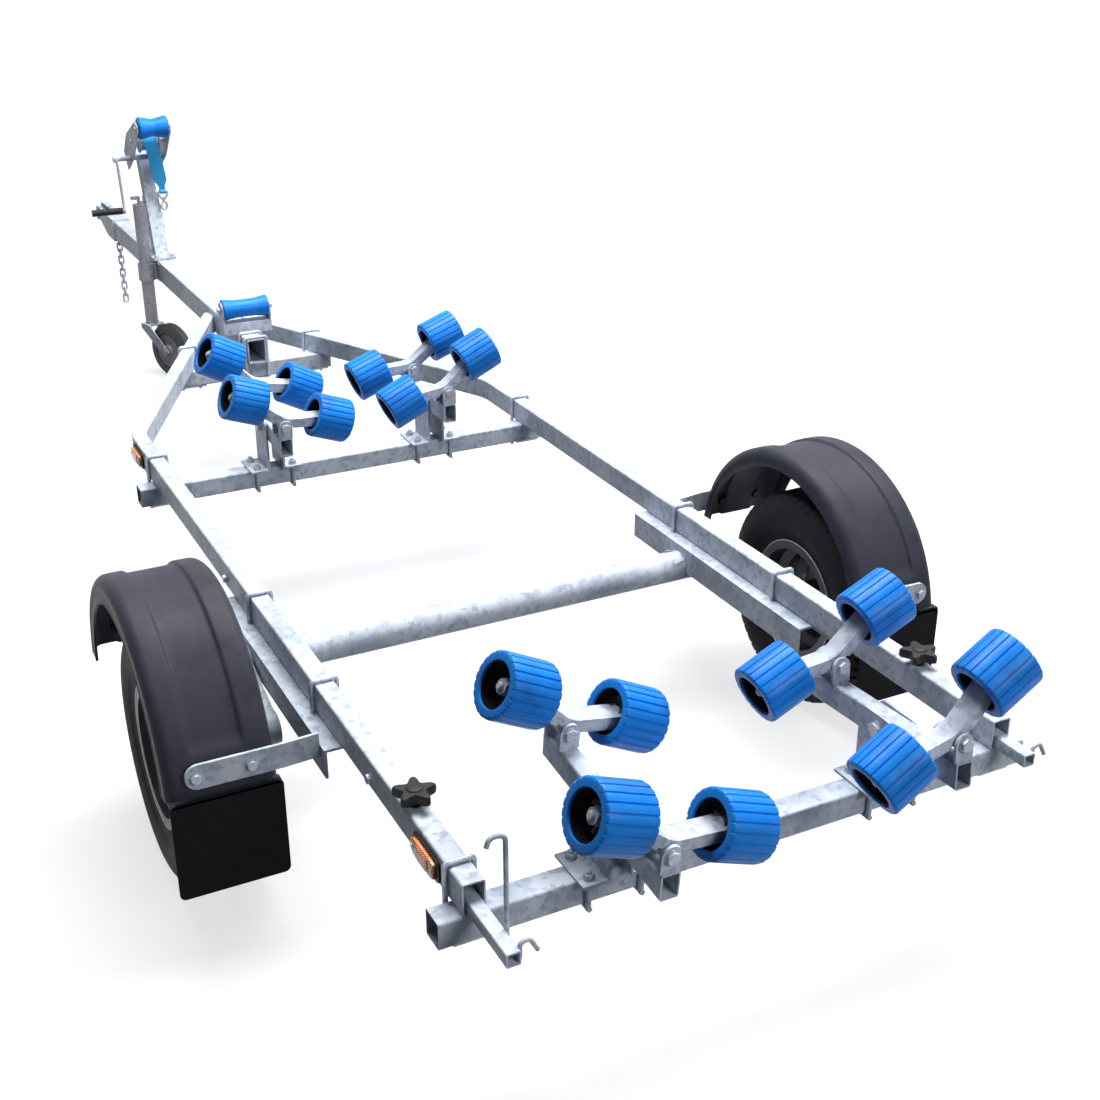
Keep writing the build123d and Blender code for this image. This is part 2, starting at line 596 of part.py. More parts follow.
for label, side, place, across, rise, reach, half in cradles:
    for end, where in ((-1, "aft"), (1, "fore")):
        tilt, aft_lean, fore_lean = resting[label]
        lean = aft_lean if end < 0 else fore_lean
        own = (Pos(side * across, place, frame_top + rise) * Rot(tilt, 0, 0)
               * Pos(0, end * reach, arm_height / 2 + swivel_rise) * Rot(0, -side * lean, 0))
        with BuildPart() as vee:
            with BuildLine(Plane.XZ) as route:
                Polyline((-vee_tip, roller_lift), (0, vee_dip), (vee_tip, roller_lift))
                fillet(route.vertices().sort_by(Axis.X)[1], radius=vee_bend)
            with BuildSketch(Plane(origin=route.line @ 0, x_dir=(0, 1, 0), z_dir=route.line % 0)):
                Rectangle(vee_width, vee_depth)
                with Locations((0, -vee_wall)):
                    Rectangle(vee_width - 2 * vee_wall, vee_depth, mode=Mode.SUBTRACT)
            sweep()
            with BuildSketch(Plane.XZ.offset(-swivel_gap / 2 + tube_play)):
                Circle(tube_radius)
            extrude(amount=swivel_gap - 2 * tube_play)
            with BuildSketch(Plane.XZ.offset(-swivel_gap)):
                Circle(pivot_radius + pin_play)
            extrude(amount=2 * swivel_gap, mode=Mode.SUBTRACT)
            for hand in (-1, 1):
                with BuildSketch(Plane.YZ.offset(hand * (vee_tip - boss_radius))):
                    with Locations((0, roller_lift)):
                        Circle(boss_radius)
                extrude(amount=hand * (roller_offset - roller_hub_length / 2 - end_float - vee_tip + boss_radius))
                with BuildSketch(Plane.YZ.offset(hand * (vee_tip - boss_radius))):
                    with Locations((0, roller_lift)):
                        Circle(pivot_radius)
                extrude(amount=hand * (roller_offset + roller_hub_length / 2 + spindle_tail - vee_tip + boss_radius))
                with BuildSketch(Plane.YZ.offset(hand * (roller_offset + roller_hub_length / 2 + end_float))):
                    with Locations((0, roller_lift)):
                        RegularPolygon(pivot_radius * nut_share, 6)
                extrude(amount=hand * nut_height)
        vee.part = own * vee.part
        save(vee.part, f"vee_{label}_{where}")

        for hand, which in ((-1, "port"), (1, "starboard")):
            with BuildPart() as roller:
                with BuildSketch(Plane.XY):
                    with BuildLine():
                        Polyline((-roller_length / 2, bore_radius), (-roller_length / 2, roller_radius - roller_edge),
                                 (-roller_length / 2 + roller_edge, roller_radius),
                                 (roller_length / 2 - roller_edge, roller_radius),
                                 (roller_length / 2, roller_radius - roller_edge), (roller_length / 2, bore_radius),
                                 close=True)
                    make_face()
                revolve(axis=Axis.X)
                with BuildSketch(Plane.YZ.offset(-roller_length)):
                    with PolarLocations(roller_radius, groove_count):
                        Rectangle(2 * groove_depth, groove_width)
                extrude(amount=2 * roller_length, mode=Mode.SUBTRACT)
                with BuildSketch(Plane.YZ.offset(-roller_hub_length / 2)):
                    Circle(roller_hub_radius)
                    with PolarLocations((bore_radius + roller_hub_radius) / 2, spoke_count):
                        Rectangle(bore_radius - roller_hub_radius + spoke_width, spoke_width)
                    Circle(pivot_radius + pin_play, mode=Mode.SUBTRACT)
                extrude(amount=roller_hub_length)
            roller.part = own * Pos(hand * roller_offset, 0, roller_lift) * roller.part
            save(roller.part, f"roller_{label}_{where}_{which}")

# Lamp board bars: square tubes that slide in the rails' rear ends, each held by a star knob
bar_size = 25.0
bar_wall = 3.0
bar_inside = 420.0
bar_z = frame_base + tube_wall + seat_gap + bar_size / 2
# how far each bar stands out behind its rail
bar_reaches = {"left": 146.0, "right": 78.0}
rod_radius = 4.0
rod_bend = 12.0
rod_setback = 60.0
rod_rise = 118.0
rod_turn = 34.0
hook_setback = 14.0
hook_rise = 18.0
hook_span = 30.0
hook_fall = 22.0
knob_radius = 34.0
knob_height = 18.0
knob_lobe = 11.0
knob_neck = 13.0
knob_lobes = 5
lamp_reflex_depth = 9.0
# start along the frame, length, height and depth of each side lamp
lamps = ((rail_tail + 83.0, 110.0, 40.0, 16.0), (rail_tail + 2072.0, 110.0, 40.0, 16.0))

for side, name in sides:
    bar_end = rail_tail - bar_reaches[name]
    rod_x = side * rail_x + bar_size / 2 + rod_radius / 2
    with BuildPart() as bar:
        with BuildSketch(Plane.XZ.offset(-bar_end)):
            with Locations((side * rail_x, bar_z)):
                Rectangle(bar_size, bar_size)
                Rectangle(bar_size - 2 * bar_wall, bar_size - 2 * bar_wall, mode=Mode.SUBTRACT)
        extrude(amount=-(rail_tail - bar_end + bar_inside))
        with BuildLine(Plane.XZ.offset(-(bar_end + hook_setback))) as route:
            Polyline((rod_x, bar_z), (rod_x, bar_z + hook_rise), (rod_x + hook_span, bar_z + hook_rise),
                     (rod_x + hook_span, bar_z + hook_rise - hook_fall))
            fillet(route.vertices().sort_by(Axis.Z)[-2:], radius=rod_bend)
        with BuildSketch(Plane(origin=route.line @ 0, x_dir=(1, 0, 0), z_dir=route.line % 0)):
            Circle(rod_radius)
        sweep()
        if name == "left":
            with BuildLine(Plane.XZ.offset(-(bar_end + rod_setback))) as route:
                Polyline((rod_x, bar_z), (rod_x, bar_z + rod_rise), (rod_x - rod_turn, bar_z + rod_rise))
                fillet(route.vertices().group_by(Axis.Z)[-1].sort_by(Axis.X)[-1], radius=rod_bend)
            with BuildSketch(Plane(origin=route.line @ 0, x_dir=(1, 0, 0), z_dir=route.line % 0)):
                Circle(rod_radius)
            sweep()
    save(bar.part, f"light_bar_{name}")

with BuildPart() as bar_knobs:
    for side, name in sides:
        with BuildSketch(Plane.XY.offset(frame_top + knob_neck)):
            with Locations((side * rail_x, knob_at)):
                Circle(knob_radius - knob_lobe)
                with PolarLocations(knob_radius - knob_lobe, knob_lobes):
                    Circle(knob_lobe)
        extrude(amount=knob_height)
        with BuildSketch(Plane.XY.offset(frame_top)):
            with Locations((side * rail_x, knob_at)):
                Circle(2 * knob_stem)
        extrude(amount=knob_neck)
        with BuildSketch(Plane.XY.offset(bar_z + bar_size / 2 + seat_gap)):
            with Locations((side * rail_x, knob_at)):
                Circle(knob_stem)
        extrude(amount=frame_top + knob_neck - bar_z - bar_size / 2 - seat_gap)
save(bar_knobs.part, "bar_knobs")

with BuildPart() as side_lamps:
    for side, name in sides:
        for start, length, height, depth in lamps:
            with BuildSketch(Plane.YZ.offset(side * (rail_x + rail_width / 2))):
                with Locations((start + length / 2, frame_top - rail_height / 2)):
                    RectangleRounded(length, height, section_corner)
            extrude(amount=side * depth)
save(side_lamps.part, "side_lamps")

# Winch post: a foot plate, a leaning outer tube and the mast that slides in it
post_lean = 20.0
post_depth = 60.0
post_width = 50.0
post_length = 230.0
foot_thickness = 8.0
foot_length = 150.0
foot_breadth = 84.0
mast_start = 70.0
mast_length = 372.0
cap_thickness = 6.0
cap_length = 76.0
head_plate = 5.0
head_inner = 57.0
lean_plane = Plane(origin=(0, post_at, drawbar_top + foot_thickness), x_dir=(1, 0, 0),
                   z_dir=(0, sin(radians(post_lean)), cos(radians(post_lean))))
# places on the winch head, forward of the rail ends and above the frame
bow_roller_at = post_at - 90 * MM
bow_roller_z = frame_top + 518 * MM
drum_at = post_at + 8 * MM
drum_z = frame_top + 458 * MM
crank_at = post_at + 52 * MM
crank_z = frame_top + 390 * MM
head_top_at = post_at + 90 * MM
head_top_z = frame_top + 474 * MM
head_heel_at = post_at + 162 * MM
head_heel_z = frame_top + 400 * MM
head_toe_at = post_at + 116 * MM
head_toe_z = frame_top + 336 * MM
head_throat_at = post_at
head_throat_z = frame_top + 398 * MM
head_nose = 24.0
shaft_radius = 9.0
drum_radius = 22.0
drum_flange = 44.0
drum_half = 33.0
drum_cheek = 4.0
strap_width = 50.0
strap_roll = 36.0

with BuildPart() as winch_post:
    with BuildSketch(lean_plane):
        Rectangle(post_width, post_depth)
        Rectangle(post_width - 2 * tube_wall, post_depth - 2 * tube_wall, mode=Mode.SUBTRACT)
    extrude(amount=post_length)
    with BuildSketch(lean_plane.offset(-post_depth / 2)):
        Rectangle(post_width, post_depth)
        Rectangle(post_width - 2 * tube_wall, post_depth - 2 * tube_wall, mode=Mode.SUBTRACT)
    extrude(amount=post_depth / 2)
    split(bisect_by=Plane.XY.offset(drawbar_top + foot_thickness))
    with BuildSketch(Plane.XY.offset(drawbar_top)):
        with Locations((0, post_at)):
            RectangleRounded(foot_breadth, foot_length, section_corner)
    extrude(amount=foot_thickness)
save(winch_post.part, "winch_post")

with BuildPart() as winch_mast:
    with BuildSketch(lean_plane.offset(mast_start)):
        Rectangle(post_width - 2 * tube_wall - 2 * seat_gap, post_depth - 2 * tube_wall - 2 * seat_gap)
        Rectangle(post_width - 4 * tube_wall, post_depth - 4 * tube_wall, mode=Mode.SUBTRACT)
    extrude(amount=mast_length - mast_start)
    with BuildSketch(lean_plane.offset(mast_length)):
        Rectangle(2 * (head_inner + head_plate), cap_length)
    extrude(amount=cap_thickness)
    for hand in (-1, 1):
        with BuildSketch(Plane.YZ.offset(hand * head_inner)):
            with BuildLine():
                Polyline((head_toe_at, head_toe_z), (head_heel_at, head_heel_z), (head_top_at, head_top_z),
                         (bow_roller_at + head_nose / 2, bow_roller_z + head_nose),
                         (bow_roller_at - head_nose, bow_roller_z + head_nose / 3),
                         (bow_roller_at - head_nose, bow_roller_z - head_nose / 2),
                         (head_throat_at, head_throat_z), close=True)
            make_face()
            with Locations((crank_at, crank_z)):
                Circle(shaft_radius + pin_play, mode=Mode.SUBTRACT)
        extrude(amount=hand * head_plate)
    with BuildSketch(Plane.YZ.offset(-drum_half)):
        with Locations((drum_at, drum_z)):
            Circle(drum_radius)
    extrude(amount=2 * drum_half)
    with BuildSketch(Plane.YZ.offset(-head_inner - 2 * head_plate)):
        with Locations((drum_at, drum_z)):
            Circle(shaft_radius)
    extrude(amount=2 * (head_inner + 2 * head_plate))
    for hand in (-1, 1):
        with BuildSketch(Plane.YZ.offset(hand * drum_half)):
            with Locations((drum_at, drum_z)):
                Circle(drum_flange)
        extrude(amount=hand * drum_cheek)
    with BuildSketch(Plane.YZ.offset(-head_inner - 2 * head_plate)):
        with Locations((bow_roller_at, bow_roller_z)):
            Circle(pivot_radius)
    extrude(amount=2 * (head_inner + 2 * head_plate))
save(winch_mast.part, "winch_mast")

# Bow roller: a soft V roller on the pin at the head's tip
bow_half = 54.0
bow_end_radius = 41.0
bow_waist_radius = 31.0

with BuildPart() as bow_roller:
    with BuildSketch(Plane.XY):
        with BuildLine():
            Polyline((bow_half, pivot_radius + pin_play), (bow_half, bow_end_radius - section_corner),
                     (bow_half - section_corner, bow_end_radius), (0, bow_waist_radius),
                     (section_corner - bow_half, bow_end_radius), (-bow_half, bow_end_radius - section_corner),
                     (-bow_half, pivot_radius + pin_play), close=True)
        make_face()
    revolve(axis=Axis.X)
bow_roller.part = Pos(0, bow_roller_at, bow_roller_z) * bow_roller.part
save(bow_roller.part, "bow_roller")

# Winch crank: its shaft through both head plates, a flat arm and a turning handle
crank_x = 112.0
crank_arm = 190.0
crank_breadth = 22.0
crank_thickness = 6.0
grip_radius = 12.5
grip_start = 124.0
grip_end = 236.0
pinion_radius = 14.0
crank_lean = 12.0
crank_turn = 78.0
handle_at = crank_at - crank_arm * sin(radians(crank_lean))
handle_z = crank_z - crank_arm * cos(radians(crank_lean))

with BuildPart() as crank:
    with BuildSketch(Plane.YZ.offset(-crank_x - crank_thickness)):
        with Locations((crank_at, crank_z)):
            Circle(shaft_radius)
    extrude(amount=crank_x + crank_thickness + head_inner + 2 * head_plate)
    with BuildSketch(Plane.YZ.offset(drum_half + 2 * drum_cheek)):
        with Locations((crank_at, crank_z)):
            Circle(pinion_radius)
    extrude(amount=drum_half / 4)
    with BuildSketch(Plane.YZ.offset(-crank_x - crank_thickness)):
        with Locations(((crank_at + handle_at) / 2, (crank_z + handle_z) / 2)):
            SlotCenterToCenter(crank_arm, crank_breadth, rotation=crank_turn)
    extrude(amount=crank_thickness)
    with BuildSketch(Plane.YZ.offset(-crank_x)):
        with Locations((handle_at, handle_z)):
            Circle(knob_stem)
    extrude(amount=crank_x - grip_end + section_corner)
save(crank.part, "crank")

with BuildPart() as crank_grip:
    with BuildSketch(Plane.YZ.offset(-grip_start)):
        with Locations((handle_at, handle_z)):
            Circle(grip_radius)
    extrude(amount=grip_start - grip_end)
    with BuildSketch(Plane.YZ.offset(-grip_start)):
        with Locations((handle_at, handle_z)):
            Circle(knob_stem + pin_play)
    extrude(amount=grip_start - grip_end + section_corner, mode=Mode.SUBTRACT)
save(crank_grip.part, "crank_grip")

# Winch strap: a roll on the drum, a run down beside the post and a loop for the hook
strap_thickness = 3.0
strap_side = 38.0
strap_end_at = post_at + 20 * MM
strap_end_z = frame_top + 262 * MM
strap_mid_at = post_at - 18 * MM
strap_mid_z = frame_top + 400 * MM
strap_loop = 9.0
hook_wire = 4.0
hook_half = 17.0
hook_drop = 46.0
loop_half = 11.0

with BuildPart() as strap:
    with BuildSketch(Plane.YZ.offset(-strap_width / 2)):
        with Locations((drum_at, drum_z)):
            Circle(strap_roll)
            Circle(drum_radius + seat_gap, mode=Mode.SUBTRACT)
    extrude(amount=strap_width)
    with BuildSketch(Plane(origin=(0, drum_at - strap_roll + strap_thickness / 2, drum_z), x_dir=(1, 0, 0),
                           z_dir=(0, 0, -1))):
        Rectangle(strap_width, strap_thickness)
    with BuildSketch(Plane(origin=(strap_side / 3, strap_mid_at, strap_mid_z), x_dir=(1, 0, 0), z_dir=(0, 0, -1))):
        Rectangle(strap_width, strap_thickness)
    with BuildSketch(Plane(origin=(strap_side, strap_end_at, strap_end_z), x_dir=(1, 0, 0), z_dir=(0, 0, -1))):
        Rectangle(2 * loop_half, strap_thickness)
    loft(ruled=True)
    with BuildSketch(Plane.YZ.offset(strap_side - loop_half)):
        with Locations((strap_end_at, strap_end_z)):
            Circle(strap_loop)
    extrude(amount=2 * loop_half)
    with BuildSketch(Plane.YZ.offset(strap_side - hook_half)):
        with Locations((strap_end_at, strap_end_z)):
            Circle(hook_wire + seat_gap)
    extrude(amount=2 * hook_half, mode=Mode.SUBTRACT)
save(strap.part, "strap")

with BuildPart() as strap_hook:
    with BuildLine(Plane.XZ) as route:
        Polyline((-hook_half, 0), (hook_half, 0), (hook_half, -hook_drop), (-hook_half, -hook_drop), (-hook_half, 0))
        fillet(route.vertices(), radius=section_corner)
    with BuildSketch(Plane(origin=route.line @ 0, x_dir=(0, 1, 0), z_dir=route.line % 0)):
        Circle(hook_wire)
    sweep()
strap_hook.part = Pos(strap_side, strap_end_at, strap_end_z) * strap_hook.part
save(strap_hook.part, "strap_hook")

# Coupling: a sleeve bolted round the drawbar's nose, a pressed neck, the ball housing and its lever
socket_radius = 25.3
socket_depth = 40.0
housing_radius = 36.0
housing_height = 56.0
sleeve_wall = 5.0
sleeve_length = 130.0
neck_width = 58.0
neck_end_height = 46.0
coupling_at = overall_length / 2 - housing_radius
coupling_top = drawbar_top + sleeve_wall
lever_length = 120.0
lever_width = 30.0
lever_thickness = 5.0
lever_rise = 22.0

link_wire = 8.0
link_breadth = 6.0
link_length = 46.0
link_width = 28.0
link_count = 9
chain_setback = 40.0
chain_at = drawbar_nose - chain_setback
link_bow = link_width / 2 - link_wire
link_pitch = link_length - 2 * link_wire - seat_gap - 2 * (link_bow - (link_bow ** 2 - link_breadth ** 2 / 4) ** 0.5)
eye_z = frame_base - seat_gap - link_length / 2


def chain_link(index):
    """One chain link, counted from the eye; every other one is turned a quarter."""
    facing = Plane.XZ if index % 2 else Plane.YZ
    with BuildPart() as link:
        with BuildSketch(facing.offset(-link_breadth / 2)):
            SlotOverall(link_length, link_width, rotation=90)
            SlotOverall(link_length - 2 * link_wire, link_width - 2 * link_wire, rotation=90, mode=Mode.SUBTRACT)
        extrude(amount=link_breadth)
    return Pos(0, chain_at, eye_z - index * link_pitch) * link.part


eye = chain_link(0)
with BuildPart() as coupling:
    with BuildSketch(Plane.XZ.offset(-(drawbar_nose - sleeve_length))):
        with Locations((0, drawbar_z)):
            Rectangle(drawbar_width + 2 * sleeve_wall, drawbar_height + 2 * sleeve_wall)
            Rectangle(drawbar_width, drawbar_height, mode=Mode.SUBTRACT)
    extrude(amount=-sleeve_length)
    with BuildSketch(Plane.XZ.offset(-drawbar_nose)):
        with Locations((0, drawbar_z)):
            Rectangle(drawbar_width + 2 * sleeve_wall, drawbar_height + 2 * sleeve_wall)
    with BuildSketch(Plane.XZ.offset(-coupling_at)):
        with Locations((0, coupling_top - neck_end_height / 2)):
            Rectangle(neck_width, neck_end_height)
    loft()
    with BuildSketch(Plane.XY.offset(coupling_top - housing_height)):
        with Locations((0, coupling_at)):
            Circle(housing_radius)
    extrude(amount=housing_height)
    with BuildSketch(Plane.XY.offset(coupling_top - housing_height)):
        with Locations((0, coupling_at)):
            Circle(socket_radius)
    extrude(amount=socket_depth, mode=Mode.SUBTRACT)
    with BuildSketch(Plane.YZ.offset(-lever_width / 2)):
        with BuildLine():
            Polyline((coupling_at, coupling_top), (coupling_at - lever_rise, coupling_top + lever_rise),
                     (coupling_at - lever_length, coupling_top + lever_rise),
                     (coupling_at - lever_length, coupling_top + lever_rise - lever_thickness),
                     (coupling_at - lever_rise - lever_thickness, coupling_top + lever_rise - lever_thickness),
                     (coupling_at - lever_rise - lever_thickness, coupling_top), close=True)
        make_face()
    extrude(amount=lever_width)
    add(eye)
save(coupling.part, "coupling")

# Safety chain: plain links that hang from the eye under the coupling's sleeve
links = [chain_link(index + 1) for index in range(link_count)]
save(Part() + links, "chain")

# Jockey wheel: a clamp on the drawbar, the stem with its handle, a trailing fork and the wheel
stem_x = -72.0
stem_at = post_at - 50 * MM
stem_radius = 24.0
stem_base = frame_top - 222 * MM
stem_top = frame_top + 236 * MM
clamp_radius = 31.0
clamp_half = 32.0
jockey_radius = 105.0
jockey_width = 46.0
jockey_bore = 8.0
jockey_trail = 108.0
jockey_at = stem_at - jockey_trail
jockey_turn = 25.0
jockey_rim_radius = 68.0
fork_plate = 5.0
fork_inner = 30.0
fork_half = 16.0
crown_thickness = 8.0
pintle_radius = 9.0
pintle_rise = 40.0
handle_reach = 24.0
handle_radius = 6.0
handle_rise = 24.0

with BuildPart() as jockey_clamp:
    with BuildSketch(Plane.XY.offset(drawbar_z - clamp_half)):
        with Locations((stem_x, stem_at)):
            Circle(clamp_radius)
        with Locations(((stem_x - drawbar_width / 2) / 2, stem_at)):
            Rectangle(-stem_x - drawbar_width / 2, 2 * fork_half)
        with Locations((stem_x, stem_at)):
            Circle(stem_radius + pin_play, mode=Mode.SUBTRACT)
    extrude(amount=2 * clamp_half)
    with BuildSketch(Plane.YZ.offset(-drawbar_width / 2 - fork_plate)):
        with Locations((stem_at, drawbar_z)):
            RectangleRounded(3 * clamp_half, drawbar_height - 2 * section_corner, section_corner)
    extrude(amount=fork_plate)
save(jockey_clamp.part, "jockey_clamp")

with BuildPart() as jockey_stem:
    with BuildSketch(Plane.XY.offset(stem_base)):
        with Locations((stem_x, stem_at)):
            Circle(stem_radius)
    extrude(amount=stem_top - stem_base)
    with BuildSketch(Plane.XY.offset(stem_base)):
        with Locations((stem_x, stem_at)):
            Circle(pintle_radius + pin_play)
    extrude(amount=pintle_rise + section_corner, mode=Mode.SUBTRACT)
    with BuildSketch(Plane.XY.offset(stem_top)):
        with Locations((stem_x, stem_at)):
            Circle(handle_radius)
    extrude(amount=handle_rise)
    with BuildSketch(Plane.XZ.offset(-(stem_at - handle_radius))):
        with Locations((stem_x - handle_reach / 2, stem_top + handle_rise)):
            SlotOverall(handle_reach + 2 * handle_radius, 2 * handle_radius)
    extrude(amount=-2 * handle_radius)
save(jockey_stem.part, "jockey_stem")

with BuildPart() as jockey_fork:
    with BuildSketch(Plane.XY.offset(stem_base - seat_gap - crown_thickness)):
        with Locations((stem_x, stem_at)):
            Rectangle(2 * (fork_inner + fork_plate), 2 * stem_radius)
    extrude(amount=crown_thickness)
    with BuildSketch(Plane.XY.offset(stem_base - seat_gap - crown_thickness)):
        with Locations((stem_x, stem_at)):
            Circle(pintle_radius)
    extrude(amount=crown_thickness + pintle_rise)
    for hand in (-1, 1):
        with BuildSketch(Plane.YZ.offset(stem_x + hand * fork_inner)):
            with BuildLine():
                Polyline((stem_at - stem_radius, stem_base - seat_gap), (stem_at + stem_radius, stem_base - seat_gap),
                         (stem_at + stem_radius, stem_base - seat_gap - 2 * crown_thickness),
                         (jockey_at + fork_half, jockey_radius - fork_half),
                         (jockey_at, jockey_radius - fork_half),
                         (jockey_at - fork_half, jockey_radius),
                         (jockey_at, jockey_radius + fork_half), close=True)
            make_face()
        extrude(amount=hand * fork_plate)
    with BuildSketch(Plane.YZ.offset(stem_x - fork_inner - 2 * fork_plate)):
        with Locations((jockey_at, jockey_radius)):
            Circle(jockey_bore)
    extrude(amount=2 * (fork_inner + 2 * fork_plate))
turned = Pos(stem_x, stem_at, 0) * Rot(0, 0, jockey_turn) * Pos(-stem_x, -stem_at, 0)
jockey_fork.part = turned * jockey_fork.part
save(jockey_fork.part, "jockey_fork")

with BuildPart() as jockey_wheel:
    half = jockey_width / 2
    with BuildSketch(Plane.XY):
        with BuildLine():
            Polyline((half, jockey_bore + pin_play), (half, 2 * jockey_bore + fork_plate),
                     (half / 3, 2 * jockey_bore + fork_plate), (half / 3, jockey_rim_radius),
                     (half, jockey_rim_radius), (half, jockey_radius - 2 * fork_plate),
                     (half - 2 * fork_plate, jockey_radius), (2 * fork_plate - half, jockey_radius),
                     (-half, jockey_radius - 2 * fork_plate), (-half, jockey_rim_radius),
                     (-half / 3, jockey_rim_radius), (-half / 3, 2 * jockey_bore + fork_plate),
                     (-half, 2 * jockey_bore + fork_plate), (-half, jockey_bore + pin_play), close=True)
        make_face()
    revolve(axis=Axis.X)
jockey_wheel.part = turned * Pos(stem_x, jockey_at, jockey_radius) * jockey_wheel.part
save(jockey_wheel.part, "jockey_wheel")
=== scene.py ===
# %% [markdown]
# # Galvanised roller boat trailer
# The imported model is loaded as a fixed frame. Every looks-only piece is then added in the same
# metres and the same axes: X to the right seen from behind, Y forward to the coupling, Z up.
# %% Load the frame
import json
from math import cos, pi, radians, sin, tan

import bmesh
import bpy
import numpy as np
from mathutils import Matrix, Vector

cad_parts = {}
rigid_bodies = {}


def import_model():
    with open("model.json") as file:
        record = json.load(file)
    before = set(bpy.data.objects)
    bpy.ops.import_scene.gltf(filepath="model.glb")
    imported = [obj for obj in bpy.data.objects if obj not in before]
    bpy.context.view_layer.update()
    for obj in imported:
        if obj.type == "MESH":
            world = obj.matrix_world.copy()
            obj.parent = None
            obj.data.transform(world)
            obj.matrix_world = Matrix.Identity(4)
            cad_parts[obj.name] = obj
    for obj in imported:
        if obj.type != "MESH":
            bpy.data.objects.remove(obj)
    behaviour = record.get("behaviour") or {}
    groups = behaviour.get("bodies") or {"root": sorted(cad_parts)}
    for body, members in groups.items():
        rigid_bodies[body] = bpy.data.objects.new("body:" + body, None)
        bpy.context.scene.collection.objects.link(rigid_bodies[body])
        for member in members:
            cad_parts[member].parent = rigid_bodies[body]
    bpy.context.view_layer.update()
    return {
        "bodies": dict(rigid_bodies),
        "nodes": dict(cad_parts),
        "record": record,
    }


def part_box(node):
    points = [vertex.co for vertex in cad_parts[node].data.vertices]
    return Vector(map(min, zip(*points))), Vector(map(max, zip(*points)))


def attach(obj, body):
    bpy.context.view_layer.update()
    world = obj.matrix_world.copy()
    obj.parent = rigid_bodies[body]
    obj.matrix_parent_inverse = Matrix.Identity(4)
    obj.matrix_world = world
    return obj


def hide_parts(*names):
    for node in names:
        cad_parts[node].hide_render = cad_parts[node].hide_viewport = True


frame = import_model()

nodes = frame["nodes"]

# %% [markdown]
# Sizes that the looks share with the part. The part's own source can't be read here, so the
# places that pieces seat on are measured from its nodes' boxes wherever a box gives them. The
# trailer's beams, axle and post stand at places counted forward from the rails' rear ends.
# %% Shared sizes
mm = 0.001
rail_low, rail_high = (np.array(corner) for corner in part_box("rail_left"))
tail, frame_top = rail_low[1], rail_high[2]
rail_height, beam_side = 60 * mm, 50 * mm
base = frame_top - rail_height
beam_low = base - beam_side
rail_x, rail_half = 526 * mm, 20 * mm
rail_outside = rail_x + rail_half
rear_beam_at, axle_at, front_beam_at, bend_at, nose_at, post_at = 25, 900, 1974, 2215, 2890, 4100


def place(y):
    """Metres forward of the rails' rear ends, given in millimetres, as a Y in the frame."""
    return tail + y * mm


def hexed(text):
    """An sRGB hex colour as the linear colour that Blender's nodes take."""
    parts = [int(text[i:i + 2], 16) / 255 for i in (0, 2, 4)]
    linear = [c / 12.92 if c <= 0.04045 else ((c + 0.055) / 1.055) ** 2.4 for c in parts]
    return (*linear, 1.0)


print("rail tail", round(float(tail), 4), "frame top", round(float(frame_top), 4))

# %% [markdown]
# Materials are small node trees. One function makes the shader, one adds a node, and the
# patterns are sized in millimetres on object coordinates, so they sit still in every view.
# %% Material helpers
def shader(name, colour, roughness, metallic=0.0, **inputs):
    """A new material named by what it is, with its shader's uniform values set on the sockets."""
    material = bpy.data.materials.new(name)
    material.use_nodes = True
    surface = material.node_tree.nodes["Principled BSDF"]
    surface.inputs["Base Color"].default_value = hexed(colour)
    surface.inputs["Roughness"].default_value = roughness
    surface.inputs["Metallic"].default_value = metallic
    for key, value in inputs.items():
        surface.inputs[key.replace("_", " ")].default_value = value
    return material, material.node_tree, surface


def add(tree, kind, settings=None, **inputs):
    """One node with its settings and inputs, by name or by number as i0; a socket given is linked."""
    node = tree.nodes.new(kind)
    for key, value in (settings or {}).items():
        setattr(node, key, value)
    for key, value in inputs.items():
        numbered = key[0] == "i" and key[1:].isdigit()
        socket = node.inputs[int(key[1:]) if numbered else key.replace("_", " ")]
        if isinstance(value, bpy.types.NodeSocket):
            tree.links.new(value, socket)
        else:
            socket.default_value = value
    return node


def coordinates(tree):
    """Object coordinates, in metres."""
    return add(tree, "ShaderNodeTexCoord").outputs["Object"]


def noise(tree, size_mm, detail=4.0, rough=0.55, vector=None):
    """Noise whose largest features are about the given size in millimetres."""
    return add(tree, "ShaderNodeTexNoise", Vector=vector or coordinates(tree), Scale=1000 / size_mm,
               Detail=detail, Roughness=rough).outputs["Fac"]


def ramp(tree, value, stops):
    """A colour ramp from (position, hex colour) pairs."""
    node = add(tree, "ShaderNodeValToRGB", Fac=value)
    band = node.color_ramp
    while len(band.elements) < len(stops):
        band.elements.new(0.5)
    for element, (position, colour) in zip(band.elements, stops):
        element.position = position
        element.color = hexed(colour)
    return node.outputs["Color"]


def spread(tree, value, low, high, start=0.0, end=1.0):
    """The value's range from start to end, stretched to run from low to high."""
    return add(tree, "ShaderNodeMapRange", i0=value, i1=start, i2=end, i3=low, i4=high).outputs["Result"]


def blend_colours(tree, factor, first, second):
    """Two colours mixed by a factor; either may be a hex text or a socket."""
    node = add(tree, "ShaderNodeMix", {"data_type": "RGBA", "blend_type": "MIX"})
    for index, value in ((0, factor), (6, first), (7, second)):
        if isinstance(value, str):
            value = hexed(value)
        if isinstance(value, bpy.types.NodeSocket):
            tree.links.new(value, node.inputs[index])
        else:
            node.inputs[index].default_value = value
    return node.outputs[2]


